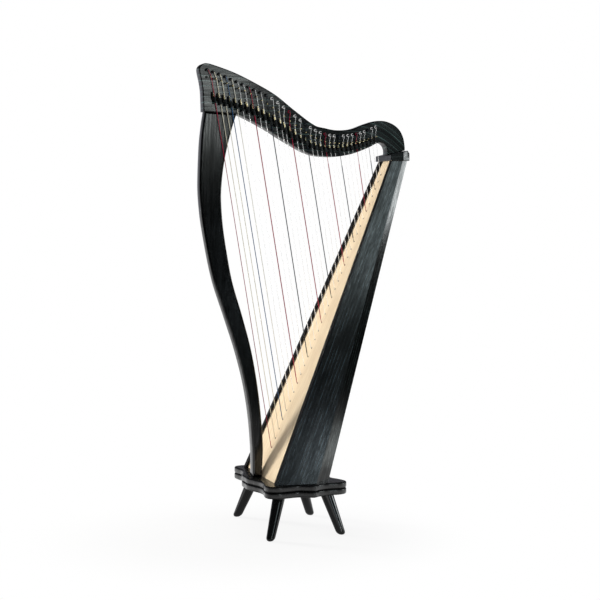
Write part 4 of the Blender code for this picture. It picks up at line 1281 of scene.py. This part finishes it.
studio = {
    "camera": {"place": (-1.4416, -4.9518, 0.9974), "pitch": 90 - 3.106, "yaw": -16.147, "lens": 98.42,
               "sensor": 36, "reach": 100},
    "floorSize": 40.0,
    "floorMiddle": (-0.22, -0.10, 0.0),
    "floorFinish": {"Base Color": (0.93, 0.93, 0.93, 1), "Roughness": 0.9, "Specular IOR Level": 0.1},
    # Each of these gives two distances, and the values there. The world's are parts of a direction.
    "floorLift": (0.20, 0.75, 0.86, 1.0),  # how white the eye sees the floor near the harp
    "floorShine": (0.8, 3.2, 1.3, 0.03),  # what gloss sees of the floor
    "floorShade": (0.25, 0.70, 0.25, 1.0),  # the share of that under the harp
    "floorBehind": (1.0, 3.0, 0.0, 0.5),  # what gloss sees of the floor behind the harp
    "worldBehind": (0.10, 0.50, 0.0, 1.0),  # where gloss starts to see the bright wall behind
    "worldLow": (0.05, 0.24, 0.42, 0.01),  # how bright that wall is near the horizon and above it
    "worldDim": 0.03,  # what gloss sees of the rest of the room
    "worldFill": 0.38,
    "roomColour": (0.90, 0.91, 1.0, 1),
    # Each lamp: its name, place, aim, size, power and colour, and whether gloss shows it.
    "lights": (
        ("keyBehindLeft", (-2.55, 2.75, 1.15), (0, 0, 0.45), (0.9, 1.3), 188, (1.0, 0.985, 0.955), False),
        ("headCard", (0.62, -4.95, 1.79), (-0.30, 0.0, 1.38), (0.66, 0.74), 6.7, (0.93, 1.0, 0.98), True),
        ("neckCard", (1.07, -4.95, 1.93), (-0.10, 0.0, 1.40), (0.24, 0.46), 1.4, (0.93, 1.0, 0.98), True),
        ("sideCard", (2.05, -4.76, 2.65), (0.25, 0.0, 1.05), (1.1, 0.9), 7.8, (0.80, 0.97, 1.0), True),
        ("middleCard", (1.93, -4.80, 1.95), (0.20, 0.0, 0.80), (0.9, 0.45), 3.0, (0.80, 0.97, 1.0), True),
        ("capCard", (2.0, -4.9, 1.38), (0.28, 0.0, 1.18), (0.7, 0.5), 0.25, (0.80, 1.0, 0.95), True),
        ("lowCard", (1.79, -4.97, 0.55), (0.05, 0.0, 0.30), (0.72, 0.7), 7.0, (0.76, 0.92, 1.0), True),
        ("legStrip", (2.10, -4.8, 0.15), (0.08, -0.15, 0.06), (0.18, 0.40), 7.0, (1.0, 1.0, 1.0), True),
        ("bevelCard", (4.6, -1.1, 0.98), (0.35, 0.0, 0.9), (1.3, 0.56), 24, (0.93, 0.99, 1.0), True),
        ("capBevelCard", (4.6, -1.1, 1.50), (0.35, 0.0, 1.0), (1.3, 0.46), 8.5, (0.93, 0.99, 1.0), True),
        ("bevelLowCard", (1.35, -0.4, 0.02), (1.35, -0.4, 1.0), (0.8, 0.5), 2.2, (0.90, 1.0, 0.98), True),
    ),
}


def makeCamera():
    settings = studio["camera"]
    data = bpy.data.cameras.new("camera")
    data.lens = settings["lens"]
    data.sensor_width = settings["sensor"]
    data.clip_end = settings["reach"]
    camera = addObject("camera", data)
    camera.location = settings["place"]
    camera.rotation_euler = (radians(settings["pitch"]), 0, radians(settings["yaw"]))
    bpy.context.scene.camera = camera


def makeLights():
    for name, place, aim, size, power, colour, gloss in studio["lights"]:
        data = bpy.data.lights.new(name, "AREA")
        data.shape = "RECTANGLE"
        data.size, data.size_y = size
        data.energy = power
        data.color = colour
        lamp = addObject(name, data)
        lamp.location = place
        lamp.rotation_euler = (Vector(aim) - Vector(place)).to_track_quat("-Z", "Y").to_euler()
        lamp.visible_glossy = gloss
        lamp.visible_camera = False


def mixed(share, plain, other):
    # The plain shader, and the other one as far as the share says.
    node = addNode(plain.id_data, "MixShader")
    join(*share, node, 0)
    join(plain, 0, node, 1)
    join(other, 0, node, 2)
    return node


def makeFloor():
    # White to the eye and in reflections, with the harp's shadow kept.
    half = studio["floorSize"] / 2
    bm = bmesh.new()
    corners = ((-half, -half), (half, -half), (half, half), (-half, half))
    bm.faces.new([bm.verts.new((x, y, 0)) for x, y in corners])
    material, shader = newMaterial("studioFloor", studio["floorFinish"])
    tree = shader.id_data
    place = addNode(tree, "TexCoord")
    distance = addNode(tree, "VectorMath", {1: studio["floorMiddle"]}, operation="DISTANCE")
    join(place, "Object", distance, 0)
    split = addNode(tree, "SeparateXYZ")
    join(place, "Object", split, "Vector")
    lift, shine, shade = (mapped(distance, "Value", studio[key], "SMOOTHSTEP")
                          for key in ("floorLift", "floorShine", "floorShade"))
    behind = mapped(split, "Y", studio["floorBehind"], "SMOOTHSTEP")
    white = addNode(tree, "Emission", {"Color": (1, 1, 1, 1), "Strength": 1.0})
    shown = addNode(tree, "Emission", {"Color": (1, 1, 1, 1)})
    glossy = maths(tree, "ADD", maths(tree, "MULTIPLY", shine, shade), behind)
    join(*glossy, shown, "Strength")
    rays = addNode(tree, "LightPath")
    surface = mixed(maths(tree, "MULTIPLY", (rays, "Is Camera Ray"), lift), shader, white)
    surface = mixed((rays, "Is Glossy Ray"), surface, shown)
    surface = mixed((rays, "Is Transmission Ray"), surface, white)
    join(surface, 0, tree.nodes["Material Output"], "Surface")
    floor = addObject("floor", meshOf(bm, "floor"))
    floor.data.materials.append(material)


def makeWorld():
    # White behind the harp for the eye, an even fill for its shading.
    world = bpy.data.worlds.new("studio")
    bpy.context.scene.world = world
    world.use_nodes = True
    world.cycles.sampling_method = "NONE"  # so that gloss only meets the room
    tree = world.node_tree
    tree.nodes.clear()
    output = tree.nodes.new("ShaderNodeOutputWorld")
    fill = addNode(tree, "Background", {"Color": (1, 1, 1, 1), "Strength": studio["worldFill"]})
    white = addNode(tree, "Background", {"Color": (1, 1, 1, 1), "Strength": 1.0})
    room = addNode(tree, "Background", {"Color": studio["roomColour"]})
    place = addNode(tree, "TexCoord")
    split = addNode(tree, "SeparateXYZ")
    join(place, "Generated", split, "Vector")
    behind = mapped(split, "Y", studio["worldBehind"], "SMOOTHSTEP")
    low = mapped(split, "Z", studio["worldLow"], "SMOOTHSTEP")
    wall = maths(tree, "MULTIPLY", behind, low)
    join(*maths(tree, "ADD", wall, studio["worldDim"]), room, "Strength")
    rays = addNode(tree, "LightPath")
    surface = mixed((rays, "Is Glossy Ray"), fill, room)
    for kind in ("Is Camera Ray", "Is Transmission Ray"):
        surface = mixed((rays, kind), surface, white)
    join(surface, 0, output, "Surface")


makeCamera()
makeLights()
makeFloor()
makeWorld()
bpy.context.scene.view_settings.view_transform = "Standard"
print("studio made")
